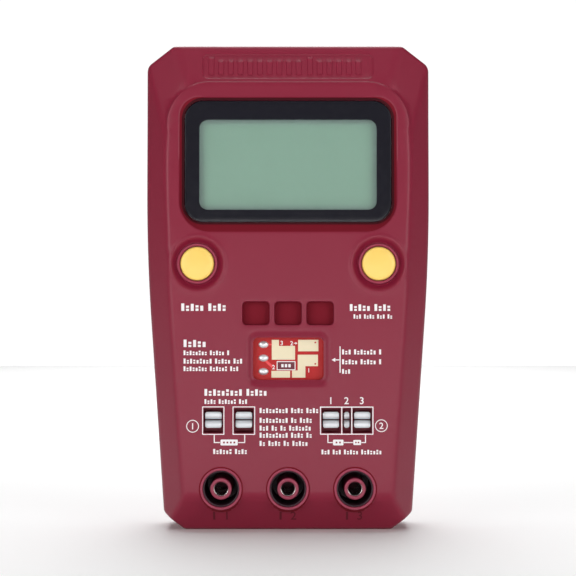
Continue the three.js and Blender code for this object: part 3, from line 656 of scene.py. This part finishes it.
plate, ribs = plate_marks()
wells = [button_reliefs(cap) for cap in caps]
pockets = [Relief(rounded_box(n * 9.5, -7.8, 8.0, 6.9, 1.2, 0.35), lip(2.4, 0.3, 0.12)) for n in (-1, 0, 1)]
SLOT_ROOM, SLOT_LENGTH = 0.85, 7.3
slots = []
for name in SOCKET_NAMES:
    upper, lower = leaves[name]
    middle = (upper.y + lower.y) / 2
    slots.append(rounded_box(upper.x, middle - 0.15, upper.width + SLOT_ROOM, SLOT_LENGTH, 0.35, 0.4))
slot_reliefs = [Relief(s, lip(0.3, 0.15, 0.01, 2)[:-1]) for s in slots]
pad_outer = rounded_box(*PAD_CENTRE, *PAD_RIM, 3.2)
pad_hole = rounded_box(*PAD_CENTRE, *PAD_WINDOW, 1.6, 0.35)
pad_relief = Relief(pad_outer, [(-0.5, 0), (-0.15, 0.03), (0.15, 0.12), (0.9, 0.62), (1.7, 1.2)])
front_reliefs = [plate, *ribs, *wells, *pockets, *slot_reliefs, pad_relief]


def front_top(points):
    z = body_height(points)
    z -= edge_drop(depth_inside(points, case_outline), EDGE_ROUND)
    z -= all_drops(front_reliefs, points)
    # the display recess runs from its rim down to the lens, steeper where it is narrower
    inside = depth_inside(points, display_rim)
    outside = -depth_inside(points, lens_hole)
    share = np.clip(inside / np.maximum(inside + np.maximum(outside, 0), 1e-6), 0, 1)
    share = share * share * (3 - 2 * share) * 0.5 + share * 0.5
    recess = z * (1 - share) + (lens.z1 + 0.12) * share
    z = np.where(inside > 0, recess, z)
    for jack in jacks:
        radius = distance(points, jack)
        boss = JACK_TOP - edge_drop(np.maximum(radius - SHROUD_RADIUS, 0), 0.25)
        boss -= np.maximum(radius - BOSS_RADIUS, 0) * BOSS_SLOPE
        z = np.where(radius < BOSS_RADIUS + BOSS_REACH, np.maximum(z, boss), z)
    return z


def front_under(points):
    depth = depth_inside(points, case_outline)
    ceiling = body_height(points) - WALL
    ceiling = np.minimum(ceiling, FACE_Z - FACE_WALL)
    z = np.where(depth < WALL, SEAM_Z + TONGUE_RISE + TONGUE_PLAY, ceiling)
    z = np.where(depth < TONGUE_DEPTH - TONGUE_PLAY, SEAM_Z + SEAM_GAP / 2, z)
    display = depth_inside(points, inset(display_rim, -1.5)) > 0
    z = np.where(display & (depth >= WALL), DISPLAY_CEILING, z)
    for jack in jacks:
        radius = distance(points, jack)
        z = np.where(radius <= BOSS_RADIUS + 1e-4, SHROUD_FOOT, z)
    return z


def shade_front(piece):
    """Paints shade and highlight into the colour: a darker matt red on the sunk walls and boss sides, a
    still darker painted shadow round the lens, and a paler red as a painted highlight on the rings.
    """
    for material in (painted_shade_red, painted_lens_shadow_red, painted_highlight_red):
        piece.data.materials.append(material)
    centres = np.array([f.center for f in piece.data.polygons])
    facing = -np.array([f.normal.y for f in piece.data.polygons])
    plan = np.column_stack([centres[:, 0], centres[:, 2] - MIDDLE_Z]) / MM
    sunk = centres[:, 1] > place(0, 0, FACE_Z - 0.5)[1]
    from_lens = -depth_inside(plan, lens_hole)
    # painted shade mask: the recess walls, pocket floors and boss sides that take the darker red
    painted_shade_mask = (depth_inside(plan, display_rim) > 0.3) & (from_lens > 0)
    for pocket in pockets:
        painted_shade_mask |= sunk & (depth_inside(plan, pocket.loop) > 0)
    for jack in jacks:
        beyond = distance(plan, jack) - BOSS_RADIUS
        painted_shade_mask |= (beyond > 0) & ((beyond < 0.45) | (beyond < 1.4) & (facing < 0.5))
    # a band next to the lens gets the painted shadow red
    index = np.where((from_lens > 0) & (from_lens < LENS_SHADOW_BAND), 2, painted_shade_mask)
    # the rim and boss rings get the paler red as a painted highlight
    raised = [(cap, BORE_RADIUS, RIM_RADIUS) for cap in caps]
    raised += [(jack, SHROUD_RADIUS, BOSS_RADIUS) for jack in jacks]
    for spot, inner, outer in raised:
        radius = distance(plan, spot)
        index = np.where((radius > inner) & (radius < outer) & (facing > 0.5), 3, index)
    piece.data.polygons.foreach_set("material_index", index.astype(np.int32))


def front_shell():
    rings = [inset(case_outline, d) for d in (0.2, 0.45, 0.9, 0.98, 1.02)]
    rings += [inset(face_outline, d) for d in (-0.5, 0, 0.5)]
    rings += [inset(display_rim, d) for d in (-0.3, 0, 0.25, 0.6)]
    rings += [inset(lens_hole, d) for d in (-0.25, -LENS_SHADOW_BAND)]
    rings += all_rings(front_reliefs)
    for jack in jacks:
        rings += [circle(jack.x, jack.y, radius, 96) for radius in BOSS_RINGS]
    holes = [lens_hole, pad_hole, *slots]
    holes += [circle(cap.x, cap.y, BORE_RADIUS, 96) for cap in caps]
    holes += [circle(j.x, j.y, SHROUD_RADIUS, 96) for j in jacks]
    points, faces = slab_mesh(case_outline, rings, holes, front_top, front_under, body_height)
    piece = make_piece("front_shell_fine", points, faces, case_red)
    shade_front(piece)
    finish_piece(piece, "case", "case_red", "front_shell")


front_shell()


# ---- rear shell and battery cover ----
cover = Spot("battery_cover")
case_screws = [Spot(f"case_screw_{i}") for i in (1, 2, 3, 4)]
cover_screw = Spot("battery_cover_screw")
COVER_GAP = 0.3
CASE_PILLAR, COVER_PILLAR, COVER_PILLAR_TOP = 4.2, 3.2, 12.0
REAR_FLOOR, BAY_TOP = 3.4, 21.5
LEAD_WINDOW = (27.3, 30.8, -20, -8, 14.5, 17.8)
cover_seat = rounded_box(cover.x, cover.y, cover.width + 2 * COVER_GAP, cover.height + 2 * COVER_GAP, 3)
bay = rounded_box(0, -12, 56.6, 28.6, 0.8, 0.6)
bay_wall = rounded_box(0, -12, 59.6, 31.6, 1.5, 0.6)
counterbores = [circle(s.x, s.y, 3.1, 48) for s in case_screws]
screw_hole = circle(cover_screw.x, cover_screw.y, 1.25, 32)
rear_reliefs = [
    Relief(cover_seat, lip(1.9, 0.25, 0.08, 3)),
    Relief(bay, [(-0.05, 0), (0.05, 18.4)]),
    *[Relief(c, lip(5.1, 0.3, 0.08, 3)) for c in counterbores],
    Relief(screw_hole, [(-0.05, 0), (0.05, 9)]),
]


def rear_outer(points):
    depth = depth_inside(points, case_outline)
    return edge_drop(depth, REAR_ROUND) + all_drops(rear_reliefs, points)


def rear_inner(points):
    depth = depth_inside(points, case_outline)
    rim = SEAM_Z - SEAM_GAP / 2
    z = np.where(depth < WALL, SEAM_Z + TONGUE_RISE, REAR_FLOOR)
    z = np.where(depth < TONGUE_DEPTH, rim, z)
    z = np.where(depth_inside(points, bay_wall) > -0.02, BAY_TOP, z)
    for screw in case_screws:
        z = np.where(distance(points, screw) < CASE_PILLAR, rim, z)
    near = distance(points, cover_screw) < COVER_PILLAR
    return np.where(near & (z < COVER_PILLAR_TOP), COVER_PILLAR_TOP, z)


def rear_shell():
    rings = [inset(case_outline, d) for d in (0.15, 0.5, 1.0, 1.13, 1.17, 1.5)]
    rings += [bay_wall, *all_rings(rear_reliefs)]
    bend = lambda p: edge_drop(depth_inside(p, case_outline), REAR_ROUND)
    points, faces = slab_mesh(case_outline, rings, [], rear_outer, rear_inner, bend)
    piece = make_piece("rear_shell_fine", points, faces, case_red)
    cut_with(piece, block_tool(LEAD_WINDOW))
    finish_piece(piece, "case", "case_red", "rear_shell")


def battery_cover():
    outline = rounded_box(cover.x, cover.y, cover.width, cover.height, 2.7, 0.45)
    grips = [rounded_box(0, cover.y1 - 7 - 2.2 * n, 18 - 3 * n, 1.0, 0.45, 0.35) for n in range(4)]
    sink = circle(cover_screw.x, cover_screw.y, 3.0, 64)
    hole = circle(cover_screw.x, cover_screw.y, 1.6, 48)
    reliefs = [Relief(g, lip(0.5, 0.15, 0.1, 2)) for g in grips]
    reliefs.append(Relief(sink, lip(0.85, 0.2, 0.06, 2)))

    lugs = [Relief(rounded_box(side * 27.4, -12, 1.2, 20, 0.4, 0.4), [(-0.03, 0), (0.03, 2.8)])
            for side in (-1, 1)]
    rings = [inset(outline, d) for d in (0.05, 0.15, 0.35)] + all_rings(reliefs + lugs)
    flat = level(1.7)
    outer = lambda p: 0.1 + edge_drop(depth_inside(p, outline), 0.35) + all_drops(reliefs, p)
    inner = lambda p: flat(p) + all_drops(lugs, p)
    points, faces = slab_mesh(outline, rings, [hole], outer, inner, flat)
    piece = make_piece("battery_cover_fine", points, faces, case_red)
    finish_piece(piece, "cover", "case_red", "battery_cover")


rear_shell()
battery_cover()


# ---- screws ----
def screw(name, spot, head, head_height, shank, body):
    z0, z1 = spot.z0, spot.z1
    profile = [(0, z0), (head * 0.7, z0 + 0.02), (head * 0.93, z0 + head_height * 0.3),
               (head, z0 + head_height * 0.7), (head, z0 + head_height), (shank, z0 + head_height)]
    pitch, z = 0.8, z0 + head_height + 1.5
    while z < z1 - 1.6:
        profile += [(shank * 0.86, z), (shank, z + pitch / 2)]
        z += pitch
    profile += [(shank * 0.86, z1 - 1.2), (shank * 0.3, z1), (0, z1)]
    points, faces = turned_mesh(spot.x, spot.y, profile, 40)
    piece = make_piece(name + "_fine", points, faces, zinc)
    long, thin, deep = head * 0.55, 0.25, head_height * 0.65
    cut_with(piece, block_tool(
        (spot.x - long, spot.x + long, spot.y - thin, spot.y + thin, z0 - deep, z0 + deep),
        (spot.x - thin, spot.x + thin, spot.y - long, spot.y + long, z0 - deep, z0 + deep)))
    finish_piece(piece, body, "zinc_steel", name)


for i, spot in enumerate(case_screws, 1):
    screw(f"case_screw_{i}", spot, 2.8, 2.0, 1.4, "case")
screw("battery_cover_screw", cover_screw, 2.7, 0.75, 1.15, "cover")


# ---- display ----
WINDOW = {"y": 36.5, "width": 52.9, "height": 26.9, "radius": 2.6}


def display_lens():
    outline = rounded_box(lens.x, lens.y, lens.width, lens.height, 5.5)
    window = rounded_box(0, WINDOW["y"], WINDOW["width"], WINDOW["height"], WINDOW["radius"], 0.4)
    top = lambda p: lens.z1 - edge_drop(depth_inside(p, outline), 0.15)
    low = level(lens.z0)
    rings = [inset(outline, d) for d in (0.04, 0.09, 0.15)]
    points, faces = slab_mesh(outline, rings, [window], top, low, low)
    border = make_piece("lens_border", points, faces, ink_black)
    finish_piece(border, "case", "lens", "display_lens")
    pane = inset(window, 0.02)
    points, faces = slab_mesh(pane, [], [], level(lens.z1 - 0.02), low, low)
    finish_piece(make_piece("lens_window", points, faces, clear_window()), "case", "lens")


display_lens()


# ---- buttons ----
def button_cap(side, spot):
    crown, base = spot.z1, spot.z0
    dome = [(CAP_RADIUS * math.sin(a), crown - 0.85 * (1 - math.cos(a)))
            for a in np.linspace(0, 1.2, 9)]
    profile = [(0, base), (5.7, base), (5.7, base + 0.7), (CAP_RADIUS, base + 0.7),
               (CAP_RADIUS, crown - 0.95)] + [(r, z) for r, z in dome[::-1]]
    profile[-1] = (0, crown)
    points, faces = turned_mesh(spot.x, spot.y, round_over(profile, 0.3))
    piece = make_piece(f"{side}_cap_fine", points, faces, cap_yellow)
    finish_piece(piece, f"{side}_button", "cap_yellow", f"{side}_button_cap")


button_cap("left", caps[0])
button_cap("right", caps[1])


# ---- shrouded sockets ----
def jack(number, spot):
    liner, post = Spot(f"jack_{number}_liner"), Spot(f"jack_{number}_post")
    outer, inner, post_radius, floor_z = 5.32, 4.95, 3.15, liner.z0 + 1
    liner_bore = post_radius + 0.15
    liner_profile = [
        (liner_bore, liner.z0), (outer, liner.z0), (outer, liner.z1), (inner, liner.z1 - 0.1),
        (inner, floor_z), (liner_bore, floor_z), (liner_bore, liner.z0)]
    hole, mouth, mouth_z, foot, foot_z = 2.62, 2.15, 31.6, 4.7, post.z0 + 1.3
    post_profile = [
        (hole, post.z0), (foot, post.z0), (foot, foot_z), (post_radius, foot_z), (post_radius, post.z1),
        (mouth, post.z1), (mouth, mouth_z), (hole, mouth_z), (hole, post.z0)]
    tube, wall, collar, low, high = 2.0, 2.5, 3.6, 9.3, 10.3
    sleeve_profile = [
        (tube, spot.z0), (wall, spot.z0), (wall, low), (collar, low), (collar, high), (wall, high),
        (wall, spot.z1), (tube, spot.z1), (tube, spot.z0)]
    parts = {
        "liner": (liner_profile, painted_light_liner_black, "black_plastic"),
        "post": (post_profile, post_red, "case_red"),
        "sleeve": (sleeve_profile, nickel, "nickel"),
    }
    for kind, (profile, material, slot) in parts.items():
        points, faces = turned_mesh(spot.x, spot.y, round_over(profile, 0.22))
        node = f"jack_{number}_{kind}"
        finish_piece(make_piece(node + "_fine", points, faces, material), "case", slot, node)


for number, spot in enumerate(jacks, 1):
    jack(number, spot)


# ---- spring leaves ----
def leaf(name, half, sign):
    """A strip that climbs from its foot to the nip and rolls over outwards."""
    spot = Spot(f"{name}_{half}_leaf")
    nip = (leaves[name][0].y0 + leaves[name][1].y1) / 2
    path = [(1.6, 24.9), (1.6, 27.0), (1.2, 28.0), (0.7, 29.3), (0.36, 30.2)]
    for t in np.linspace(0.1, 1, 9):
        knots = np.array([(0.32, 30.3), (0.12, 31.3), (1.1, 31.85), (2.35, 31.3)])
        weights = [(1 - t) ** 3, 3 * t * (1 - t) ** 2, 3 * t * t * (1 - t), t ** 3]
        path.append(tuple(weights @ knots))
    path = np.array(path)
    along = np.gradient(path, axis=0)
    along /= np.linalg.norm(along, axis=1)[:, None]
    normal = np.column_stack([-along[:, 1], along[:, 0]])
    points, faces, columns = [], [], []
    corner = min(0.45, spot.width * 0.28)
    for i in range(len(path)):
        from_end = np.linalg.norm(path[-1] - path[i])
        narrow = corner - math.sqrt(max(corner ** 2 - max(corner - from_end, 0) ** 2, 0))
        wide = spot.width / 2 - narrow
        columns.append(len(points))
        for side, face in ((-1, -1), (1, -1), (1, 1), (-1, 1)):
            y, z = path[i] + normal[i] * 0.14 * face
            points.append((spot.x + side * wide, nip + sign * y, z))
    for a, b in zip(columns, columns[1:]):
        faces += [(a + k, a + (k + 1) % 4, b + (k + 1) % 4, b + k) for k in range(4)]
    faces += [(columns[0] + 3, columns[0] + 2, columns[0] + 1, columns[0])]
    faces += [tuple(columns[-1] + k for k in range(4))]
    piece = make_piece(f"{name}_{half}_fine", points, faces, tinned, 60)
    soften(piece, 0.05)
    finish_piece(piece, f"{name}_{half}", "tin", f"{name}_{half}_leaf")


for name in SOCKET_NAMES:
    leaf(name, "upper", 1)
    leaf(name, "lower", -1)


# ---- flat prints, pads and marks ----
def flat_piece(name, loops, z0, z1, material, slot):
    """Separate flat shapes of one thickness. Each is (outer loop, [hole loops])."""
    points, faces = [], []
    for outer, holes in loops:
        corners, sides = slab_mesh(outer, [], holes, level(z1), level(z0))
        faces += [tuple(len(points) + v for v in side) for side in sides]
        points += corners.tolist()
    return finish_piece(make_piece(name, points, faces, material, 30), "case", slot)


def bar(x0, x1, y0, y1, radius=0.08):
    low, high = min(y0, y1), max(y0, y1)
    return rounded_box((x0 + x1) / 2, (low + high) / 2, x1 - x0, high - low, radius, 1.0), []


def framed(x0, x1, y0, y1, line=0.26):
    outer = rounded_box((x0 + x1) / 2, (y0 + y1) / 2, x1 - x0 + line, y1 - y0 + line, 0.12, 1.0)
    inner = rounded_box((x0 + x1) / 2, (y0 + y1) / 2, x1 - x0 - line, y1 - y0 - line, 0.08, 1.0)
    return outer, [inner]


def ring(x, y, radius, line=0.24):
    return circle(x, y, radius + line / 2, 40), [circle(x, y, radius - line / 2, 40)]


def blocks(x0, x1, y0, y1, words):
    """A line of plain blocks in word-like groups: it fills a text line's place and says nothing."""
    tall = y1 - y0
    pitch, wide = tall * 0.64, tall * 0.4
    shapes, x, n = [], x0, 0
    lengths = list(words)
    while x + wide < x1:
        if n >= lengths[0]:
            lengths.append(lengths.pop(0))
            n = 0
            x += pitch * 0.7
            continue
        rise = tall * (1 if n == 0 else (0.76, 0.7, 0.95)[n % 3])
        if n % 2:
            shapes.append(bar(x, x + wide, y0, y0 + rise * 0.42, 0.06))
            shapes.append(bar(x, x + wide, y0 + rise * 0.6, y0 + rise, 0.06))
        else:
            shapes.append(bar(x, x + wide, y0, y0 + rise, 0.08))
        x += pitch
        n += 1
    return shapes


def symbol_body(x0, x1, y, tall, pits):
    """A filled component symbol with a row of small square pits."""
    size = tall * 0.3
    holes = []
    for k in range(pits):
        middle = x0 + (x1 - x0) * (k + 1) / (pits + 1)
        holes.append(rounded_box(middle, y, size, size, 0.08, 1.0))
    return rounded_box((x0 + x1) / 2, y, x1 - x0, tall, 0.3, 0.5), holes


def number(text, x, y, size, z, material, name, slot="white_plastic"):
    """A plain numeral, centred, as a thin solid."""
    curve = bpy.data.curves.new(name, "FONT")
    curve.body = text
    curve.size = size * 1.38 * MM
    curve.align_x, curve.align_y = "CENTER", "CENTER"
    curve.extrude = 0.015 * MM
    curve.offset = 0.03 * MM
    mesh = curve_mesh(name, curve, material)
    across, up = [v.co.x for v in mesh.vertices], [v.co.y for v in mesh.vertices]
    centre_x, centre_y = (min(across) + max(across)) / 2, (min(up) + max(up)) / 2
    for vert in mesh.vertices:
        u, v, w = vert.co
        at_x, at_y = x + (u - centre_x) / MM, y + (v - centre_y) / MM
        vert.co = place(at_x, at_y, (z(at_y) if callable(z) else z) + w / MM)
    return finish_piece(show(name, mesh), "case", slot)


PRINT = (FACE_Z - 0.02, FACE_Z + 0.02)
# x from and to, y from and to, and the number of blocks in each group
TEXT_LINES = [
    (-31.6, -17.5, -7.1, -4.9, (5, 4)), (18.3, 32.4, -7.1, -5.1, (5, 4)),
    (19.4, 31.2, -9.4, -8.1, (3, 4, 3)), (-30.9, -24.0, -17.8, -15.6, (6,)),
    (-30.9, -16.7, -20.2, -18.8, (8, 5)), (-30.9, -13.3, -22.7, -21.2, (9, 5)),
    (-30.9, -14.5, -24.9, -23.5, (8, 6)), (16.0, 28.5, -20.0, -18.5, (3, 7)),
    (16.0, 28.0, -22.9, -21.4, (5, 5)), (16.0, 19.6, -25.7, -24.3, (3,)),
    (-24.7, -5.9, -32.2, -30.2, (9, 8)), (-24.7, -11.4, -34.6, -33.2, (4, 6)),
    (-22.1, -11.8, -49.4, -47.9, (6, 5)), (-8.4, 9.1, -37.3, -35.8, (9, 4, 4)),
    (-8.4, 7.1, -40.2, -38.7, (9, 2, 4)), (-8.4, 7.25, -42.5, -41.0, (3, 2, 2, 8)),
    (-8.4, 7.7, -44.6, -43.1, (9, 4, 4)), (-8.4, 6.95, -47.0, -45.5, (2, 4, 2, 5)),
    (9.9, 27.9, -49.5, -48.1, (3, 3, 5, 7)),
]
# the digit, its middle and its height
FACE_DIGITS = [("1", 12.65, -33.65, 2.1), ("2", 17.3, -33.65, 2.1), ("3", 21.8, -33.65, 2.1),
               ("1", -28.2, -41.2, 1.9), ("2", 27.6, -41.05, 1.9)]


def port_marks():
    """Frames round the clip slots, wired component symbols below them and a circle beside each port."""
    frames = [framed(-25.25, -18.95, -43.6, -35.5), framed(-16.25, -9.85, -43.6, -35.5)]
    cells = [rounded_box((a + b) / 2, -39.55, b - a, 7.7, 0.08, 1.0)
             for a, b in ((9.75, 15.75), (16.05, 18.7), (19.0, 24.95))]
    frames.append((rounded_box(17.35, -39.55, 15.8, 8.3, 0.12, 1.0), cells))
    wires = [bar(x - 0.15, x + 0.15, -45.85, -43.7) for x in (-21.8, -12.8, 11.8, 22.9)]
    runs = ((-21.95, -20.1), (-14.7, -12.65), (11.65, 13.2), (16.5, 19.2), (21.7, 23.05))
    wires += [bar(x0, x1, -46.15, -45.87) for x0, x1 in runs]
    bodies = [symbol_body(-19.95, -14.85, -46.0, 1.75, 4), symbol_body(13.3, 16.4, -46.0, 1.7, 2),
              symbol_body(19.3, 21.6, -46.0, 1.5, 2)]
    circles = [ring(-28.2, -41.2, 1.75), ring(27.6, -41.05, 1.75)]
    return frames + wires + bodies + circles


def arrow_marks():
    """An arrow that points at the pad board from a line beside it."""
    head = np.array([(12.9, -21.6), (14.0, -22.2), (14.0, -21.0)])
    return [(head, []), bar(14.05, 15.2, -21.75, -21.45, 0.05), bar(15.25, 15.55, -25.4, -17.6)]


def socket_marks():
    """A digit and a plain stroke on the lower slope, below each socket, as thin sheets in a dark red that
    paints the shade of the sunk marks.
    """
    slope = lambda y: float(body_height(np.array([[0.0, y]]))[0]) + 0.005
    for text, spot in zip("123", jacks):
        number(text, spot.x + 1.6, -68.1, 2.7, slope, painted_deboss_shade_red, f"jack_mark_{text}", "case_red")
    strokes = [bar(spot.x - 2.5, spot.x - 1.9, -69.4, -66.8) for spot in jacks]
    piece = flat_piece("jack_mark_strokes", strokes, -0.015, 0.015, painted_deboss_shade_red, "case_red")
    for vert in piece.data.vertices:
        vert.co.y -= slope((vert.co.z - MIDDLE_Z) / MM) * MM


def face_print():
    texts = [shape for line in TEXT_LINES for shape in blocks(*line)]
    flat_piece("face_print", port_marks() + arrow_marks() + texts, *PRINT, print_white, "white_plastic")
    for text, x, y, size in FACE_DIGITS:
        name = f"print_{text}_{'r' if x > 0 else 'l'}{abs(round(y))}"
        number(text, x, y, size, FACE_Z + 0.005, print_white, name)
    socket_marks()


face_print()


# ---- what lies on the pad board ----
def solder_joints(x, rows, base):
    """A low oval dome of solder on each pin."""
    profile = [(0, 0.01), (1.05, 0.01), (1.0, 0.12), (0.8, 0.3), (0.5, 0.44), (0.36, 0.5), (0, 0.52)]
    stretch = 1.42
    for n, y in enumerate(rows, 1):
        points, faces = turned_mesh(x, y, [(radius, base + z) for radius, z in profile], 40)
        points = [(x + (a - x) * stretch, b, c) for a, b, c in points]
        finish_piece(make_piece(f"solder_{n}", points, faces, solder), "case", "tin")


def pad_layout():
    """Pads, traces and marks, placed from the middle of the pad window."""
    x, y = PAD_CENTRE
    top = Spot("pad_board").z1

    def shape(*corners, holes=()):
        return np.array([(x + a, y + b) for a, b in corners]), list(holes)

    upper_hole, lower_hole = [circle(x + 8.02, y + dy, 0.26, 20) for dy in (4.82, -1.54)]
    pads = [
        shape((-4.93, -0.3), (2.0, -0.3), (2.0, 3.79), (-2.77, 3.79), (-2.77, 5.61), (-4.93, 5.61)),
        shape((2.91, 2.2), (8.93, 2.2), (8.93, 5.61), (2.91, 5.61), holes=[upper_hole]),
        shape((1.09, -5.63), (5.07, -5.63), (5.07, -2.23), (8.82, -2.23), (8.82, 1.18), (2.79, 1.18),
              (2.79, -3.48), (1.09, -3.48), holes=[lower_hole]),
        shape((-5.04, -5.63), (0.52, -5.63), (0.52, -3.62), (-5.04, -3.62)),
    ]
    box = framed(x - 3.34, x + 2.0, y - 3.3, y - 0.86, 0.24)
    box_fill = bar(x - 3.2, x + 1.86, y - 3.16, y - 1.0)
    marks = [bar(x + a, x + a + 0.7, y - 2.55, y - 1.6) for a in (-2.1, -1.05, 0.0)]
    arrow = [shape((2.72, 4.6), (2.1, 4.98), (2.1, 4.22)), bar(x + 1.6, x + 2.08, y + 4.5, y + 4.7, 0.04)]
    traces = [shape((-5.9, 4.0), (-4.98, 4.0), (-4.98, 4.45), (-5.9, 4.45)),
              shape((-6.95, -0.95), (-6.4, -0.45), (-4.5, -2.15), (-4.9, -2.8))]
    layers = [
        ("board_pads", pads, 0.01, 0.06, pad_gold, "nickel"),
        ("board_box", [box], 0.01, 0.05, print_white, "white_plastic"),
        ("board_box_fill", [box_fill], 0.005, 0.03, mask_dark, "board_red"),
        ("board_marks", marks + arrow, 0.032, 0.06, print_white, "white_plastic"),
        ("board_traces", traces, 0.005, 0.03, mask_light, "board_red"),
    ]
    for name, shapes, low, high, material, slot in layers:
        flat_piece(name, shapes, top + low, top + high, material, slot)
    for text, dx, dy in (("3", -1.97, 4.66), ("2", 0.98, 4.6), ("2", -4.4, -2.5), ("1", 6.07, -3.46)):
        name = f"board_mark_{text}{'a' if dy > 0 else 'b'}"
        number(text, x + dx, y + dy, 1.3, top + 0.03, print_white, name)
    solder_joints(Spot("pad_pin_header").x, [y + dy for dy in (4.2, 0.2, -3.8)], top)


pad_layout()


# ---- the other CAD nodes keep their shape and get softened edges and a real finish ----
def dress(node, material, width=0.15):
    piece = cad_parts[node]
    piece.data.materials.clear()
    piece.data.materials.append(material)
    bevel = soften(piece, width)
    bevel.limit_method = "ANGLE"
    bevel.angle_limit = math.radians(40)
    even = piece.modifiers.new("shading", "WEIGHTED_NORMAL")
    even.keep_sharp = True


DRESSED = [
    (white_plastic, ["lcd_backlight", "lcd_holder", "left_switch_plunger", "right_switch_plunger"]),
    (mask_green, ["main_board", "jack_board"]),
    (mask_red, ["pad_board"]),
    (block_red, ["port1_clip_block", "port2_clip_block"]),
    (black_plastic, ["pad_pin_header", "jack_pin_header", "left_switch_body", "right_switch_body",
                     "microcontroller", "voltage_regulator", "snap_connector"]),
    (zinc, ["crystal", *[f"board_screw_{i}" for i in (1, 2, 3, 4)]]),
    (capacitor_sleeve, ["filter_capacitor"]),
    (resistor_blue, ["discharge_resistor"]),
    (battery_sleeve, ["battery"]),
    (nickel, ["battery_plus_stud", "battery_minus_stud"]),
]
for material, nodes in DRESSED:
    for node in nodes:
        dress(node, material)
dress("lcd_glass", display_green(), 0.1)


# ---- battery leads, which bend between the case and the battery ----
def lead(name, material, y, board_y):
    start = Spot("snap_connector").x1 + 0.15
    route = [(start, y, 11.4), (27.1, y, 12.0), (27.3, (y + board_y) / 2, 15.4), (29.4, board_y, 17.2),
             (32.3, board_y, 18.6), (32.6, board_y, 21.85)]
    curve = bpy.data.curves.new(name, "CURVE")
    curve.dimensions = "3D"
    curve.bevel_depth = 0.68 * MM
    curve.bevel_resolution = 4
    curve.use_fill_caps = True
    spline = curve.splines.new("BEZIER")
    spline.bezier_points.add(len(route) - 1)
    for point, spot in zip(spline.bezier_points, route):
        point.co = place(*spot)
        point.handle_left_type = point.handle_right_type = "AUTO"
    piece = show(name + "_fine", curve_mesh(name, curve, material))
    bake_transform(piece)
    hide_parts(name)


lead("battery_lead_red", wire_red, -15.5, -16.5)
lead("battery_lead_black", wire_black, -9.5, -11.5)


# ---- floor, light and camera ----
SURROUND = {"front": 0.18, "back": 1.05, "above": 0.12}
LIGHTS = {
    # name: place and aim in metres, width, height, watts
    "left": ((-0.75, -0.9, 0.32), (0, 0, 0.07), 0.6, 0.6, 4.5),
    "right": ((0.75, -0.9, 0.32), (0, 0, 0.07), 0.6, 0.6, 4.1),
    "overhead": ((0, -0.6, 1.1), (0, 0, 0.07), 0.8, 0.8, 1.0),
    "strip": ((0, -0.37, 0.014), (0, 0, 0.07), 0.3, 0.02, 0.2),
    "wash": ((0, 1.4, 1.1), (0, 1.4, 0), 0.8, 3.0, 27.0),
}


def studio_world():
    """A plain surround: pale behind and to the sides, dimmer on the side that faces the front."""
    world = bpy.data.worlds.new("studio")
    world.use_nodes = True
    tree = world.node_tree
    where = add_node(tree, "ShaderNodeTexCoord")
    split = add_node(tree, "ShaderNodeSeparateXYZ")
    tree.links.new(where.outputs["Generated"], split.inputs["Vector"])

    def ramp(axis, start, end, low, high):
        mapped = add_node(tree, "ShaderNodeMapRange",
                          {"From Min": start, "From Max": end, "To Min": low, "To Max": high},
                          interpolation_type="SMOOTHSTEP")
        tree.links.new(split.outputs[axis], mapped.inputs["Value"])
        return mapped

    sides = ramp("Y", 0.8, 0.95, SURROUND["front"], SURROUND["back"])
    above = ramp("Z", 0.2, 0.75, 0.0, SURROUND["above"])
    tree.links.new(sides.outputs["Result"], above.inputs["To Min"])
    background = tree.nodes["Background"]
    background.inputs["Color"].default_value = (1, 1, 1, 1)
    tree.links.new(above.outputs["Result"], background.inputs["Strength"])
    bpy.context.scene.world = world


def studio_lights():
    for name, (where, aim, width, height, power) in LIGHTS.items():
        light = bpy.data.lights.new(name, "AREA")
        light.shape = "RECTANGLE"
        light.size, light.size_y, light.energy = width, height, power
        lamp = show(name, light)
        lamp.location = where
        lamp.rotation_mode = "QUATERNION"
        lamp.rotation_quaternion = (Vector(where) - Vector(aim)).to_track_quat("Z", "Y")
        lamp.visible_camera = False


FLOOR_REACH = 2.3


def studio_floor():
    floor_material, shader = new_material("pale_floor", (0.95, 0.95, 0.95), 0.8)
    add_surface(floor_material, shader, 60, 0.2, 0.01, 0.03, 4)
    mesh = bpy.data.meshes.new("floor")
    work = bmesh.new()
    bmesh.ops.create_grid(work, x_segments=8, y_segments=8, size=FLOOR_REACH)
    work.to_mesh(mesh)
    work.free()
    mesh.materials.append(floor_material)
    floor = show("floor", mesh)
    floor.location.z = cad_box[0].z


def camera():
    """Straight on to the face and aimed at its middle, from a little below it."""
    distance, view_width, below, sensor = 0.55, 0.1753, 0.012, 36.0
    lens_data = bpy.data.cameras.new("camera")
    lens_data.sensor_width = sensor
    lens_data.lens = sensor * distance / view_width
    lens_data.clip_start, lens_data.clip_end = 0.05, 60
    eye = show("camera", lens_data)
    eye.location = (0, REAR_Y - 18 * MM - distance, MIDDLE_Z - below)
    eye.rotation_euler = (math.pi / 2 + math.atan(below / distance), 0, 0)
    bpy.context.scene.camera = eye


studio_world()
studio_lights()
studio_floor()
camera()
bpy.context.scene.view_settings.view_transform = "Standard"
